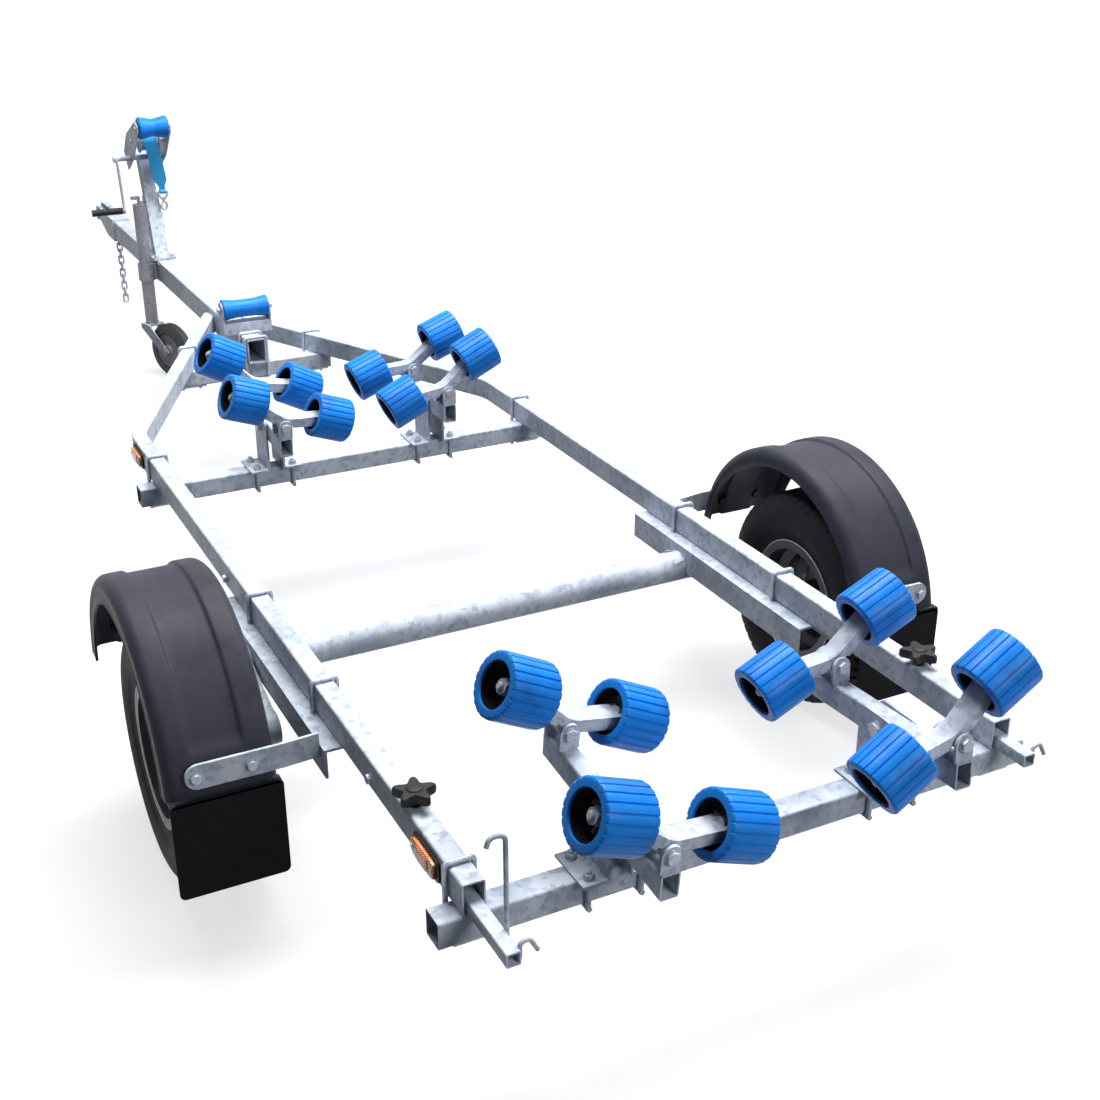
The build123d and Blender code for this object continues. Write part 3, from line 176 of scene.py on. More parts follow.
def bump(tree, surface, height, depth_mm, strength=1.0):
    """Bump of a given depth in millimetres on the shader's normal."""
    node = add(tree, "ShaderNodeBump", Height=height, Distance=depth_mm * mm, Strength=strength)
    tree.links.new(node.outputs["Normal"], surface.inputs["Normal"])


def join(tree, socket, surface, name):
    """Links one socket to a named input of the shader."""
    tree.links.new(socket, surface.inputs[name])


print("material helpers ready")

# %% [markdown]
# Hot-dip galvanised steel: molten zinc leaves a pale coat whose crystals, 6 to 20 mm across, only
# just differ in tone, with cloudy grey patches where it has dulled and runs where it drained. Zinc
# that has stood outside turns chalky, so it scatters light as paint does and shines little: tops
# look nearly white and upright faces a soft blue grey. New plating and castings stay partly
# metallic. Voronoi cells give each crystal its own tone and gloss.
# %% Galvanised steel
def galvanised(name, light, dark, dull, crystal_mm, metallic, rough_low, rough_high):
    """Zinc-coated steel with crystals of a given size and a roughness range."""
    material, tree, surface = shader(name, light, rough_low, metallic=metallic, Specular_IOR_Level=0.22)
    where = coordinates(tree)
    wobble = add(tree, "ShaderNodeTexNoise", Vector=where, Scale=1000 / (crystal_mm * 1.5), Detail=2.0)
    moved = add(tree, "ShaderNodeVectorMath", {"operation": "MULTIPLY_ADD"}, i0=wobble.outputs["Color"],
                i1=(crystal_mm * mm * 0.5,) * 3, i2=where)
    cells = add(tree, "ShaderNodeTexVoronoi", Vector=moved.outputs["Vector"], Scale=1000 / crystal_mm,
                Randomness=1.0)
    tone = add(tree, "ShaderNodeSeparateColor", Color=cells.outputs["Color"]).outputs["Red"]
    runs = noise(tree, 120.0, detail=6.0, rough=0.6, vector=where)
    fine = noise(tree, 9.0, detail=5.0, rough=0.7, vector=where)
    crystals = ramp(tree, tone, ((0.0, dark), (0.5, light), (1.0, light)))
    cloudy = blend_colours(tree, spread(tree, runs, 0.0, 0.8, 0.46, 0.74), crystals, dull)
    speckled = blend_colours(tree, spread(tree, fine, 0.0, 0.35, 0.55, 0.8), cloudy, dark)
    join(tree, speckled, surface, "Base Color")
    mixed = add(tree, "ShaderNodeMath", {"operation": "MULTIPLY_ADD"}, i0=tone, i1=0.35,
                i2=spread(tree, runs, 0.0, 0.65))
    join(tree, spread(tree, mixed.outputs[0], rough_low, rough_high), surface, "Roughness")
    height = add(tree, "ShaderNodeMath", {"operation": "ADD"}, i0=spread(tree, fine, 0.0, 0.3),
                 i1=spread(tree, runs, 0.0, 1.0))
    bump(tree, surface, height.outputs[0], 0.3, 0.4)
    return material


galvanised_steel = galvanised("galvanised_steel", "C4CCD8", "9FA9BA", "828D9F", 12.0, 0.0, 0.34, 0.56)
bright_zinc = galvanised("bright_zinc_plate", "BCC2CC", "9FA7B4", "8690A0", 5.0, 0.3, 0.24, 0.38)
dull_zinc = galvanised("dull_cast_zinc", "8E8E98", "777782", "6E6E78", 6.0, 0.5, 0.34, 0.5)
print("galvanised steel, bright zinc and dull zinc made")

# %% [markdown]
# Moulded blue polyurethane of the rollers: strongly coloured, satin, slightly marbled and
# scuffed where hulls have run on it. The mudguards' polyethylene, the rubbers, the knobs' phenolic
# and the rims' grey differ from it only in tone, grain and gloss, so one function makes all. The rims' dark
# grey and the near-black sleeve in the rollers' bores are painted shade, and the flaps' black is their rubber
# darkened further by painted shade.
# %% Moulded rubbers and plastics
def moulded(name, main, deep, pale, roughness, grain_mm=1.6, depth_mm=0.12, **inputs):
    """A moulded plastic or rubber: three close tones, soft patches and a fine grain."""
    material, tree, surface = shader(name, main, roughness, **inputs)
    where = coordinates(tree)
    cloud = noise(tree, 70.0, detail=4.0, vector=where)
    scuffs = noise(tree, 14.0, detail=6.0, rough=0.7, vector=where)
    base = ramp(tree, cloud, ((0.3, deep), (0.5, main), (0.72, main)))
    worn = blend_colours(tree, spread(tree, scuffs, 0.0, 0.55, 0.56, 0.8), base, pale)
    join(tree, worn, surface, "Base Color")
    join(tree, spread(tree, scuffs, roughness - 0.08, roughness + 0.14, 0.3, 0.8), surface, "Roughness")
    bump(tree, surface, noise(tree, grain_mm, detail=3.0, vector=where), depth_mm, 0.35)
    return material


blue_rubber = moulded("blue_roller_rubber", "0778D4", "0464B8", "2592E0", 0.44, Specular_IOR_Level=0.25)
black_plastic = moulded("black_mudguard_plastic", "34353F", "2B2B34", "45465A", 0.5,
                        Specular_IOR_Level=0.1, grain_mm=2.4, depth_mm=0.15)
knob_plastic = moulded("black_knob_plastic", "1A171B", "121013", "2A282E", 0.46, Specular_IOR_Level=0.2)
tyre_rubber = moulded("tyre_rubber", "1B191F", "131116", "302E35", 0.66,
                      Specular_IOR_Level=0.15, grain_mm=1.2)
black_rubber = moulded("solid_black_rubber", "1B1B1D", "121214", "303034", 0.6)
spoke_plastic = moulded("grey_spoke_plastic", "8A868E", "6E6A72", "A6A2AA", 0.45)
# Near-black sleeve inside the rollers' bores: painted shade of the bores' inside.
bore_shade_black = moulded("black_bore_plastic", "120E12", "0A080A", "1C171C", 0.6, Specular_IOR_Level=0.1)
# The flaps' rubber is black, and its colour is taken darker still as painted shade of the upright flap.
flap_black_and_shade = moulded("black_flap_rubber", "100E13", "0C0A0F", "1B181F", 0.7, Specular_IOR_Level=0.08)
# The rims' dark grey is painted shade: silver-grey rims darkened to stand for the shade inside the wheels.
rim_painted_shade = moulded("grey_wheel_enamel", "3E3C42", "302E34", "55535A", 0.42, grain_mm=4.0, depth_mm=0.05)
print("moulded materials made")

# %% [markdown]
# Webbing: flat polyester yarns in a twill, bright blue, with a fine sheen. Its yarns are finer
# than the picture can show, so broader bands stand for them. The lamp lenses are moulded amber
# acrylic, glossy outside and ribbed within; both patterns come from a wave's bands.
# %% Webbing and lens
def banded(tree, surface, direction, scale_mm, stops, depth_mm, strength, **inputs):
    """Colour and bump that follow waves; a wave repeats about every third of scale_mm."""
    wave = add(tree, "ShaderNodeTexWave", {"wave_type": "BANDS", "bands_direction": direction},
               Vector=coordinates(tree), Scale=1000 / scale_mm, **inputs).outputs["Fac"]
    join(tree, ramp(tree, wave, stops), surface, "Base Color")
    bump(tree, surface, wave, depth_mm, strength)


webbing, tree, surface = shader("blue_polyester_webbing", "12A0EA", 0.62,
                                Sheen_Weight=0.25, Sheen_Roughness=0.4)
banded(tree, surface, "DIAGONAL", 14.0, ((0.1, "1096E2"), (0.6, "1CB4F6"), (1.0, "58CCFC")), 0.5, 0.6,
       Distortion=0.6, Detail=2.0)
amber_lens, tree, surface = shader("amber_lamp_lens", "E8740C", 0.16, Coat_Weight=0.4,
                                   Emission_Color=hexed("FF7A10"), Emission_Strength=0.01)
banded(tree, surface, "Y", 20.0, ((0.0, "A4480A"), (0.5, "D46E10"), (1.0, "F09632")), 0.6, 0.8)
print("webbing and lens made")

# %% [markdown]
# Every node of the frame takes the finish of what it is made of. A few differ from the other
# nodes of their kind: the knobs, the crank's grip and the jockey leg's castings, and the wheels' rims, whose
# dark grey is painted shade.
# %% Finishes on the frame
finishes = {"galvanised_steel": galvanised_steel, "bright_zinc": bright_zinc, "blue_rubber": blue_rubber,
            "tyre_rubber": tyre_rubber, "black_rubber": black_rubber, "black_plastic": black_plastic,
            "blue_webbing": webbing, "amber_lens": amber_lens}
own = {"bar_knobs": knob_plastic, "crank_grip": knob_plastic, "jockey_stem": dull_zinc,
       "jockey_clamp": dull_zinc, "rim_left": rim_painted_shade, "rim_right": rim_painted_shade}
for entry in frame["record"]["subparts"]:
    solid = nodes[entry["node"]]
    solid.data.materials.clear()
    solid.data.materials.append(own.get(entry["node"], finishes[entry["material_slot"]]))

# %% [markdown]
# New pieces are whole arrays of points: a surface is a grid of rows and columns, a round bar is
# a circle carried along a path, and one call turns any list of such grids into a mesh object.
# %% Mesh tools
def grid(points, wrap_rows=False, wrap_columns=False, cap=False):
    """A surface patch: points is rows x columns x 3; cap closes the first and last row."""
    return np.asarray(points, float), wrap_rows, wrap_columns, cap


def make(name, patches, material, body, sharp=38.0, replaces=()):
    """One smooth-shaded mesh from grids, with creases above an angle, riding on a body."""
    points, faces, start = [], [], 0
    for patch, wrap_rows, wrap_columns, cap in patches:
        rows, columns = patch.shape[:2]
        a, b = np.meshgrid(np.arange(rows - (not wrap_rows)), np.arange(columns - (not wrap_columns)),
                           indexing="ij")
        after, beside = (a + 1) % rows, (b + 1) % columns
        quads = np.stack([a * columns + b, after * columns + b, after * columns + beside,
                          a * columns + beside], -1)
        points.append(patch.reshape(-1, 3))
        faces += (quads.reshape(-1, 4) + start).tolist()
        if cap:
            faces.append(list(range(start, start + columns)))
            faces.append(list(range(start + (rows - 1) * columns, start + rows * columns))[::-1])
        start += rows * columns
    mesh = bpy.data.meshes.new(name)
    mesh.from_pydata(np.concatenate(points).tolist(), [], faces)
    shape = bmesh.new()
    shape.from_mesh(mesh)
    bmesh.ops.remove_doubles(shape, verts=shape.verts, dist=1e-6)
    bmesh.ops.recalc_face_normals(shape, faces=shape.faces)
    shape.to_mesh(mesh)
    shape.free()
    mesh.materials.append(material)
    mesh.polygons.foreach_set("use_smooth", np.ones(len(mesh.polygons), bool))
    mesh.set_sharp_from_angle(angle=radians(sharp))
    thing = bpy.data.objects.new(name, mesh)
    bpy.context.scene.collection.objects.link(thing)
    if replaces:
        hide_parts(*replaces)
    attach(thing, body)
    return thing


def axes(at, along, up=(0.0, 0.0, 1.0)):
    """A 4 x 4 placing matrix whose X runs along a direction and whose Z leans towards up."""
    x = np.asarray(along, float) / np.linalg.norm(along)
    y = np.cross(up, x)
    if np.linalg.norm(y) < 1e-6:
        y = np.cross((0.0, 1.0, 0.0), x)
    y /= np.linalg.norm(y)
    matrix = np.eye(4)
    matrix[:3, 0], matrix[:3, 1], matrix[:3, 2], matrix[:3, 3] = x, y, np.cross(x, y), at
    return matrix


def put(points, matrix):
    """Points moved by a 4 x 4 placing matrix."""
    return np.asarray(points, float) @ matrix[:3, :3].T + matrix[:3, 3]


def turned(profile, steps, matrix, wrap=False, swell=None):
    """A profile of (along, radius) turned round X: at angle t a point is (along, r cos t, r sin t)."""
    profile = np.asarray(profile, float)
    t = np.arange(steps) * 2 * pi / steps if np.isscalar(steps) else np.asarray(steps)
    along = np.repeat(profile[:, :1], len(t), 1)
    radius = np.repeat(profile[:, 1:2], len(t), 1)
    if swell is not None:
        radius = swell(along, radius, t)
    shape = np.stack([along, radius * np.cos(t), radius * np.sin(t)], -1)
    return grid(put(shape, matrix), wrap_rows=wrap, wrap_columns=True, cap=not wrap)


def rounded(points, radius, steps=6, closed=False):
    """A path whose corners are replaced by arcs: each arc touches both legs and has the given radius."""
    points = [np.asarray(p, float) for p in points]
    count = len(points)
    out = []
    for i, corner in enumerate(points):
        if not closed and i in (0, count - 1):
            out.append(corner)
            continue
        before, after = points[i - 1] - corner, points[(i + 1) % count] - corner
        u, v = before / np.linalg.norm(before), after / np.linalg.norm(after)
        half = np.arccos(np.clip(u @ v, -1, 1)) / 2
        if half > pi / 2 - 0.02:
            out.append(corner)
            continue
        leg = min(radius / np.tan(half), np.linalg.norm(before) * 0.49, np.linalg.norm(after) * 0.49)
        r = leg * np.tan(half)
        middle = corner + (u + v) / np.linalg.norm(u + v) * r / sin(half)
        first, last = corner + u * leg - middle, corner + v * leg - middle
        sweep = np.arccos(np.clip(first @ last / r / r, -1, 1))
        for s in np.linspace(0, 1, steps):
            out.append(middle + (np.sin((1 - s) * sweep) * first + np.sin(s * sweep) * last) / np.sin(sweep))
    return np.array(out)


def carried(path, section, closed=False, up=None):
    """A section of (side, height) carried along a path, turned as little as possible from point to point."""
    path, section = np.asarray(path, float), np.asarray(section, float)
    ahead = np.roll(path, -1, 0) - np.roll(path, 1, 0)
    if not closed:
        ahead[0], ahead[-1] = path[1] - path[0], path[-1] - path[-2]
    ahead /= np.linalg.norm(ahead, axis=1)[:, None]
    side = np.cross(ahead[0], up if up is not None else (0.31, 0.42, 0.85))
    side /= np.linalg.norm(side)
    rows = []
    for point, t in zip(path, ahead):
        side = side - t * (side @ t)
        side /= np.linalg.norm(side)
        rows.append(point + section[:, :1] * side + section[:, 1:] * np.cross(side, t))
    return grid(rows, wrap_rows=closed, wrap_columns=True, cap=not closed)


def ring(radius, steps=12):
    """A circle of points as a section."""
    t = np.arange(steps) * 2 * pi / steps
    return np.stack([radius * np.cos(t), radius * np.sin(t)], -1)


def bar(points, radius, bend, closed=False, steps=12):
    """A bent round bar through corner points."""
    return carried(rounded(points, bend, closed=closed), ring(radius, steps), closed)


def hexagon(at, along, across, height):
    """A hexagonal nut or bolt head with chamfered corners, standing on a point along a direction."""
    matrix = axes(at, along)
    t = np.arange(24) * 2 * pi / 24
    corner = across / 2 / np.cos((t + pi / 6) % (pi / 3) - pi / 6)
    flat = np.full_like(t, across / 2)
    rows = [(0.0, np.minimum(corner, flat * 1.06)), (0.14 * height, corner), (0.86 * height, corner),
            (height, np.minimum(corner, flat * 1.02)), (height, flat * 0.8), (height * 1.001, flat * 0.02)]
    shape = np.stack([np.stack([np.full_like(t, h), r * np.cos(t), r * np.sin(t)], -1) for h, r in rows])
    return grid(put(shape, matrix), wrap_columns=True, cap=True)


def washer(at, along, radius, height, hole):
    """A flat washer with softened edges."""
    edge = height * 0.25
    loop = [(0, hole), (0, radius - edge), (edge, radius), (height - edge, radius),
            (height, radius - edge), (height, hole)]
    return turned(loop, 24, axes(at, along), wrap=True)


def stud(at, along, radius, height):
    """A bolt's end with its chamfer."""
    return turned([(0, radius), (height - radius * 0.3, radius), (height, radius * 0.7)], 14, axes(at, along))


def fixing(at, along, across, head, tail_end=0.0, thread=5 * mm):
    """A washer and a hexagon together, with a bolt end through them if tail_end is given."""
    along = np.asarray(along, float) / np.linalg.norm(along)
    at = np.asarray(at, float)
    thick = 2 * mm
    parts = [washer(at, along, across * 0.62, thick, thread),
             hexagon(at + along * thick, along, across, head)]
    if tail_end:
        parts.append(stud(at + along * (thick + head), along, thread, tail_end))
    return parts


small_bolt, small_nut = (17 * mm, 7 * mm), (17 * mm, 8 * mm)


def slab(outline, low, high, matrix, bevel=1 * mm):
    """A flat plate: a closed outline of (x, y) between two heights, with bevelled edges."""
    outline = np.asarray(outline, float)
    before, after = outline - np.roll(outline, 1, 0), np.roll(outline, -1, 0) - outline
    n1 = np.stack([before[:, 1], -before[:, 0]], -1) / np.linalg.norm(before, axis=1)[:, None]
    n2 = np.stack([after[:, 1], -after[:, 0]], -1) / np.linalg.norm(after, axis=1)[:, None]
    normal = n1 + n2
    normal /= np.maximum(np.linalg.norm(normal, axis=1), 1e-9)[:, None]
    area = (outline[:, 0] * np.roll(outline[:, 1], -1) - outline[:, 1] * np.roll(outline[:, 0], -1)).sum()
    inset = outline - normal * bevel * np.sign(area)
    rows = [(inset, low), (outline, low + bevel), (outline, high - bevel), (inset, high)]
    shape = np.stack([np.column_stack([xy, np.full(len(xy), h)]) for xy, h in rows])
    return grid(put(shape, matrix), wrap_columns=True, cap=True)


def smooth_steps(value):
    """The smooth step 3v^2 - 2v^3 of a value held between 0 and 1."""
    value = np.clip(value, 0, 1)
    return value * value * (3 - 2 * value)


joints = {joint["child"]: joint for joint in frame["record"]["behaviour"]["joints"]}
print("mesh tools ready,", len(joints), "joints known")

# %% [markdown]
# Hull rollers: injection-moulded tyres with broad ribs parted by narrow grooves, a thin web of
# five spokes and a hub. The groove is a smooth dip in radius that repeats round the roller, so
# one array holds the whole tread; the spokes are small slabs between bore and hub.
# %% Hull rollers
roller_radius, bore_radius, rib_count = 57.5 * mm, 41.0 * mm, 22
groove_depth, groove_floor, groove_flank, rib_crown = 2.1 * mm, radians(0.7), radians(1.3), 0.5 * mm
rib = np.array([-3.2, -1.9, -1.3, -0.7, 0.7, 1.3, 1.9, 3.2, 5.6, 8.18]) * pi / 180
rib_angles = (np.arange(rib_count)[:, None] * 2 * pi / rib_count + rib).ravel()
spoke_count, spoke_half, tread_share = 5, 10.0 * mm, 1.35


def ribbed(along, radius, t):
    """The radius less a dip at each groove and less a crown, both fading out towards the bore."""
    offset = (t + pi / rib_count) % (2 * pi / rib_count) - pi / rib_count
    dip = 1 - smooth_steps((np.abs(offset) - groove_floor) / groove_flank)
    crown = np.cos(offset * rib_count / 2) * rib_crown
    share = np.clip((radius - bore_radius) / (roller_radius - bore_radius) * tread_share, 0, 1)
    return radius - share * (groove_depth * dip + crown)


def mirrored(half, middle=()):
    """A symmetrical profile: half's (along, radius) points at minus along, a middle, and half reversed."""
    return [(-a, r) for a, r in half] + list(middle) + half[::-1]


outer = mirrored([(48.5, 41.0), (48.5, 43.0), (48.5, 52.0), (47.8, 54.9), (46.2, 56.7), (43.5, 57.4),
                  (20, 57.5)], [(0, 57.5)]) + [(46.5, 40.4), (10, 40.0), (-10, 40.0), (-46.5, 40.4)]
bore_shade_sheet = [(-44, 40.2), (44, 40.2), (44, 38.6), (-44, 38.6)]
hub = mirrored([(23.0, 8.1), (23.0, 13.4), (9.0, 17.0)])
spoke_outline = np.array([(-3.0, 17), (3.0, 17), (2.6, 30), (3.6, 39.4), (-3.6, 39.4), (-2.6, 30)]) * mm
roller_bodies = [name for name in frame["bodies"] if name.startswith("hull_roller")]
for body in roller_bodies:
    joint = joints[body]
    matrix = axes(joint["pos_m"], joint["axis"])
    turn = np.array(joint["pos_m"]).sum() * 7 % 1
    make(body.replace("hull_roller", "ribbed_roller"),
         [turned(np.array(outer) * mm, rib_angles, matrix, wrap=True, swell=ribbed)],
         blue_rubber, body, replaces=frame["record"]["behaviour"]["bodies"][body])
    # Inside each bore a thin near-black sleeve is painted shade, where the roller's inside lies in shade.
    parts = [turned(np.array(bore_shade_sheet) * mm, 48, matrix, wrap=True)]
    make(body.replace("hull_roller", "roller_lining"), parts, bore_shade_black, body)
    parts = [turned(np.array(hub) * mm, 32, matrix, wrap=True)]
    for i in range(spoke_count):
        angle = (i + turn) * 2 * pi / spoke_count
        spoke = np.eye(4)
        spoke[:3, :3] = np.transpose([(0, -sin(angle), cos(angle)), (0, cos(angle), sin(angle)), (1, 0, 0)])
        parts.append(slab(spoke_outline, -spoke_half, spoke_half, matrix @ spoke))
    make(body.replace("hull_roller", "roller_spokes"), parts, spoke_plastic, body)
print(len(roller_bodies), "ribbed rollers")

# %% [markdown]
# Road tyres: a wide low-section trailer tyre. The cross-section runs from bead to bead; the
# tread is cut into it as smooth dips: four grooves round the tyre, slanted slots in each shoulder
# and fine cuts across the ribs between. All of it is one array of radii over angle and width.
# %% Tyres
wheel_radius = 255.0 * mm
tread_half, tread_top, tread_fall = 68.0, 254.9, 3.4
side_profile = [(75.7, 127.6), (76.2, 137.0), (77.0, 147.0), (78.6, 152.0), (80.6, 160.0),
                (82.6, 168.0), (84.2, 171.0), (86.2, 174.0), (88.0, 182.0), (89.9, 190.0),
                (91.2, 198.0), (91.7, 204.0), (91.4, 212.0), (89.9, 220.0), (87.6, 228.0),
                (84.8, 235.0), (81.4, 241.0), (77.8, 246.0), (73.6, 250.2)]
tread = [(a, tread_top - tread_fall * (a / tread_half) ** 4)
         for a in np.linspace(tread_half, -tread_half, 55)]
inside = mirrored([(75.7, 127.4), (60.0, 127.4), (62.0, 150.0), (78.0, 190.0), (70.0, 230.0), (40.0, 238.0)])
other_side = [(-a, r) for a, r in reversed(side_profile)]
tyre_profile = np.array(side_profile + tread + other_side + inside) * mm
slots = 60
groove_places, shoulder_from, cuts_until, cuts_from = (-46.0, -16.0, 16.0, 46.0), 46, 44, 19
groove_deep, slot_deep, cut_deep, tread_from = 6.0, 5.0, 2.4, 234 * mm
round_half, round_wall, slot_slant, cut_slant, cut_shift = 2.4, 1.6, 0.012, 0.03, 0.25
slot_half, cut_half, slot_wall = 0.09, 0.03, 0.05


def treaded(along, radius, t):
    """The radius less the dips: round grooves at fixed places across, and slots and cuts whose
    phase grows with the angle and with the distance from the tyre's middle, which slants them."""
    across = along / mm
    away = np.abs(across)
    live = (radius > tread_from).astype(float)
    round_dip = sum(1 - smooth_steps((np.abs(across - at) - round_half) / round_wall) for at in groove_places)
    phase = (t * slots / (2 * pi) + away * slot_slant) % 1
    slot_dip = 1 - smooth_steps((np.abs(phase - 0.5) - slot_half) / slot_wall)
    slot_dip *= smooth_steps((away - shoulder_from) / 3)
    cut_phase = (t * slots / (2 * pi) + away * cut_slant + cut_shift) % 1
    cut = 1 - smooth_steps((np.abs(cut_phase - 0.5) - cut_half) / slot_wall)
    cut *= smooth_steps((cuts_until - away) / 2) * (away > cuts_from)
    depth = groove_deep * round_dip + slot_deep * slot_dip + cut_deep * cut
    return radius - live * mm * np.clip(depth, 0, groove_deep)


# The thin bright rings at both bead edges are painted highlights: zinc wires that stand for the light caught
# along the rims' edges.
bead_x, bead_radius, bead_highlight_wire = 79.4 * mm, 143.4 * mm, 1.5 * mm
wheel_bolts, bolt_x, bolt_circle, first_bolt_turn = 5, 12.0 * mm, 49.5 * mm, 0.3
for side in ("left", "right"):
    joint = joints[f"wheel_{side}"]
    matrix = axes(joint["pos_m"], joint["axis"])
    parts = [turned(tyre_profile, slots * 8, matrix, wrap=True, swell=treaded)]
    make(f"road_tyre_{side}", parts, tyre_rubber, f"wheel_{side}", sharp=50, replaces=[f"tyre_{side}"])
    out = -1 if side == "left" else 1
    parts = []
    for face in (-1, 1):
        edge = np.insert(bead_radius * ring(1, 96), 0, face * bead_x, axis=1)
        parts.append(carried(put(edge, matrix), ring(bead_highlight_wire, 8), closed=True, up=(1, 0, 0)))
    for i in range(wheel_bolts):
        angle = i * 2 * pi / wheel_bolts + first_bolt_turn
        centre = put([(out * bolt_x, bolt_circle * cos(angle), bolt_circle * sin(angle))], matrix)[0]
        parts += fixing(centre, (out, 0, 0), 19 * mm, 11 * mm, 5 * mm, 6 * mm)
    make(f"bead_highlights_and_wheel_nuts_{side}", parts, bright_zinc, f"wheel_{side}")
print("two treaded tyres")

# %% [markdown]
# Mudguards: blow-moulded arches. Across the width the skin has two raised shoulders and a
# sunken band; along the arch the band dies out in a ledge above the flap. The section is a
# closed loop of outer and inner skin, carried round the arch by its angle, in millimetres.
# %% Mudguards
arch_radius, arch_x, arch_fuller, skin_thick, inside_share = 337.0, 762.0, 4.0, 3.8, 0.962
arch_y, arch_z = place(axle_at), wheel_radius
front_angle, rear_angle, band_ends = radians(11.0), radians(170.0), radians(154.0)
band_fades, front_fades, rear_fades = radians(1.6), radians(28), radians(34)
shoulder_at, shoulder_radius, edge_drop, outer_lip = 81.0, 22.0, 24.0, 16
rounded_edge = [(shoulder_at + shoulder_radius * cos(t), edge_drop * (sin(t) * (0.94 + 0.06 * sin(t)) - 1))
                for t in np.linspace(0, pi / 2, 9)]
across_stops = [(101.6, -40), (103, -39), (103, -37), (102.2, -35.5), (102.2, -26)] + rounded_edge + [
    (66, 0.3), (56, 0.3), (51.6, 0.1), (49.4, -0.8), (47.6, -2.6), (45.6, -4.9), (43.4, -5.8),
    (40, -6.0), (24, -6.1), (8, -6.1)]
outer_side = [(x, h - outer_lip if h < -30 else h) for x, h in across_stops]
skin = np.array(outer_side + [(-x, h) for x, h in reversed(across_stops)])
flap_half, flap_drop, flap_thick, ledge_drop = 107, 204, 5.0 * mm, 9.0


def arch(side, name):
    """At angle a the skin's point (across, height) stands at radius times cos a and sin a from the
    axle; the band's floor rises to the shoulders before the flap."""
    band = np.abs(skin[:, 0]) < 50
    rows = []
    for angle in np.linspace(front_angle, rear_angle, 96):
        sink = 1 - smooth_steps((angle - band_ends) / band_fades)
        height = np.where(band, skin[:, 1] * sink, skin[:, 1])
        swell = smooth_steps((angle - front_angle) / front_fades)
        swell *= smooth_steps((rear_angle - angle) / rear_fades)
        radius = arch_radius + arch_fuller * swell
        inner = np.where(height < -edge_drop, height, height - skin_thick)
        outer_skin = np.column_stack([skin[:, 0], radius + height])
        inner_skin = np.column_stack([skin[:, 0] * inside_share, radius + inner])[::-1]
        across, out = np.concatenate([outer_skin, inner_skin]).T
        rows.append(np.column_stack([side * (arch_x + across) * mm, arch_y + out * mm * cos(angle),
                                     arch_z + out * mm * sin(angle)]))
    flap_at = arch_y + (arch_radius * cos(rear_angle) - 11.0) * mm
    flap_top = arch_z / mm + arch_radius * sin(rear_angle) + 5.0
    flap_low = flap_top - flap_drop
    corners = [(-flap_half, flap_top), (102, flap_top), (102, flap_low), (-flap_half, flap_low)]
    flap = rounded([(side * (arch_x + x) * mm, z * mm, 0) for x, z in corners], 12 * mm, closed=True)
    upright = np.eye(4)
    upright[:3] = np.transpose([(1, 0, 0), (0, 0, 1), (0, 1, 0), (0, flap_at, 0)])
    # The flap's near-black is partly its black rubber and partly painted shade of its upright face.
    make(f"mudflap_{name}", [slab(flap[:, :2], 0, flap_thick, upright)], flap_black_and_shade, "trailer_frame")
    corners = [(side * (arch_x + x) * mm, flap_at + y * mm, 0) for x, y in
               ((-104, 0), (101, 0), (101, 22), (-104, 22))]
    ledge = rounded(corners, 3 * mm, closed=True)
    parts = [grid(rows, wrap_columns=True, cap=True),
             slab(ledge[:, :2], (flap_top - ledge_drop) * mm, flap_top * mm, np.eye(4), 2 * mm)]
    make(f"moulded_mudguard_{name}", parts, black_plastic, "trailer_frame", sharp=40,
         replaces=[f"mudguard_{name}"])


for side, name in ((-1, "left"), (1, "right")):
    arch(side, name)
print("two mudguards")

# %% [markdown]
# U-bolts: round zinc-plated bar bent square over each tube, its two threaded legs drawn up under
# a clamp plate by washers and nuts. Each comes from one call: where it stands, half the tube's
# width, the tube's top and what the nuts bear on. In front the rails slope in towards the drawbar.
# %% U-bolts and clamp plates
plate_thick, plate_long, leg_below = 6 * mm, 70 * mm, 20 * mm
front_plate, nose_plate = 75 * mm, 90 * mm
wire, seat, wire_bend = 5.0 * mm, 0.3 * mm, 7.5 * mm
leg_gap = beam_side / 2 + wire + seat
rails_run_in, rails_run_for = 495.0, 1085.0
slope = rails_run_in / rails_run_for
nose_y = place(nose_at)
drawbar_height, drawbar_half = 80 * mm, 30 * mm
drawbar_top = base + drawbar_height
axle_plate, axle_clamps_at = 5 * mm, (690, 1104)


def u_bolt(x, y, half, top, bearing):
    """One U-bolt with its washers and nuts."""
    reach, crown = half + wire + seat, top + wire + seat
    low = bearing - leg_below
    parts = [bar([(x - reach, y, low), (x - reach, y, crown), (x + reach, y, crown), (x + reach, y, low)],
                 wire, wire_bend)]
    for hand in (-1, 1):
        parts += fixing((x + hand * reach, y, bearing), (0, 0, -1), *small_nut, 0, 5.2 * mm)
    return parts


def clamp_plate(x, y, length, breadth, top):
    """A plain clamp plate with rounded corners."""
    corners = [(x + a * length / 2, y + b * breadth / 2, 0) for a, b in ((-1, -1), (1, -1), (1, 1), (-1, 1))]
    outline = rounded(corners, 4 * mm, 4, True)
    return slab(outline[:, :2], top - plate_thick, top, np.eye(4))


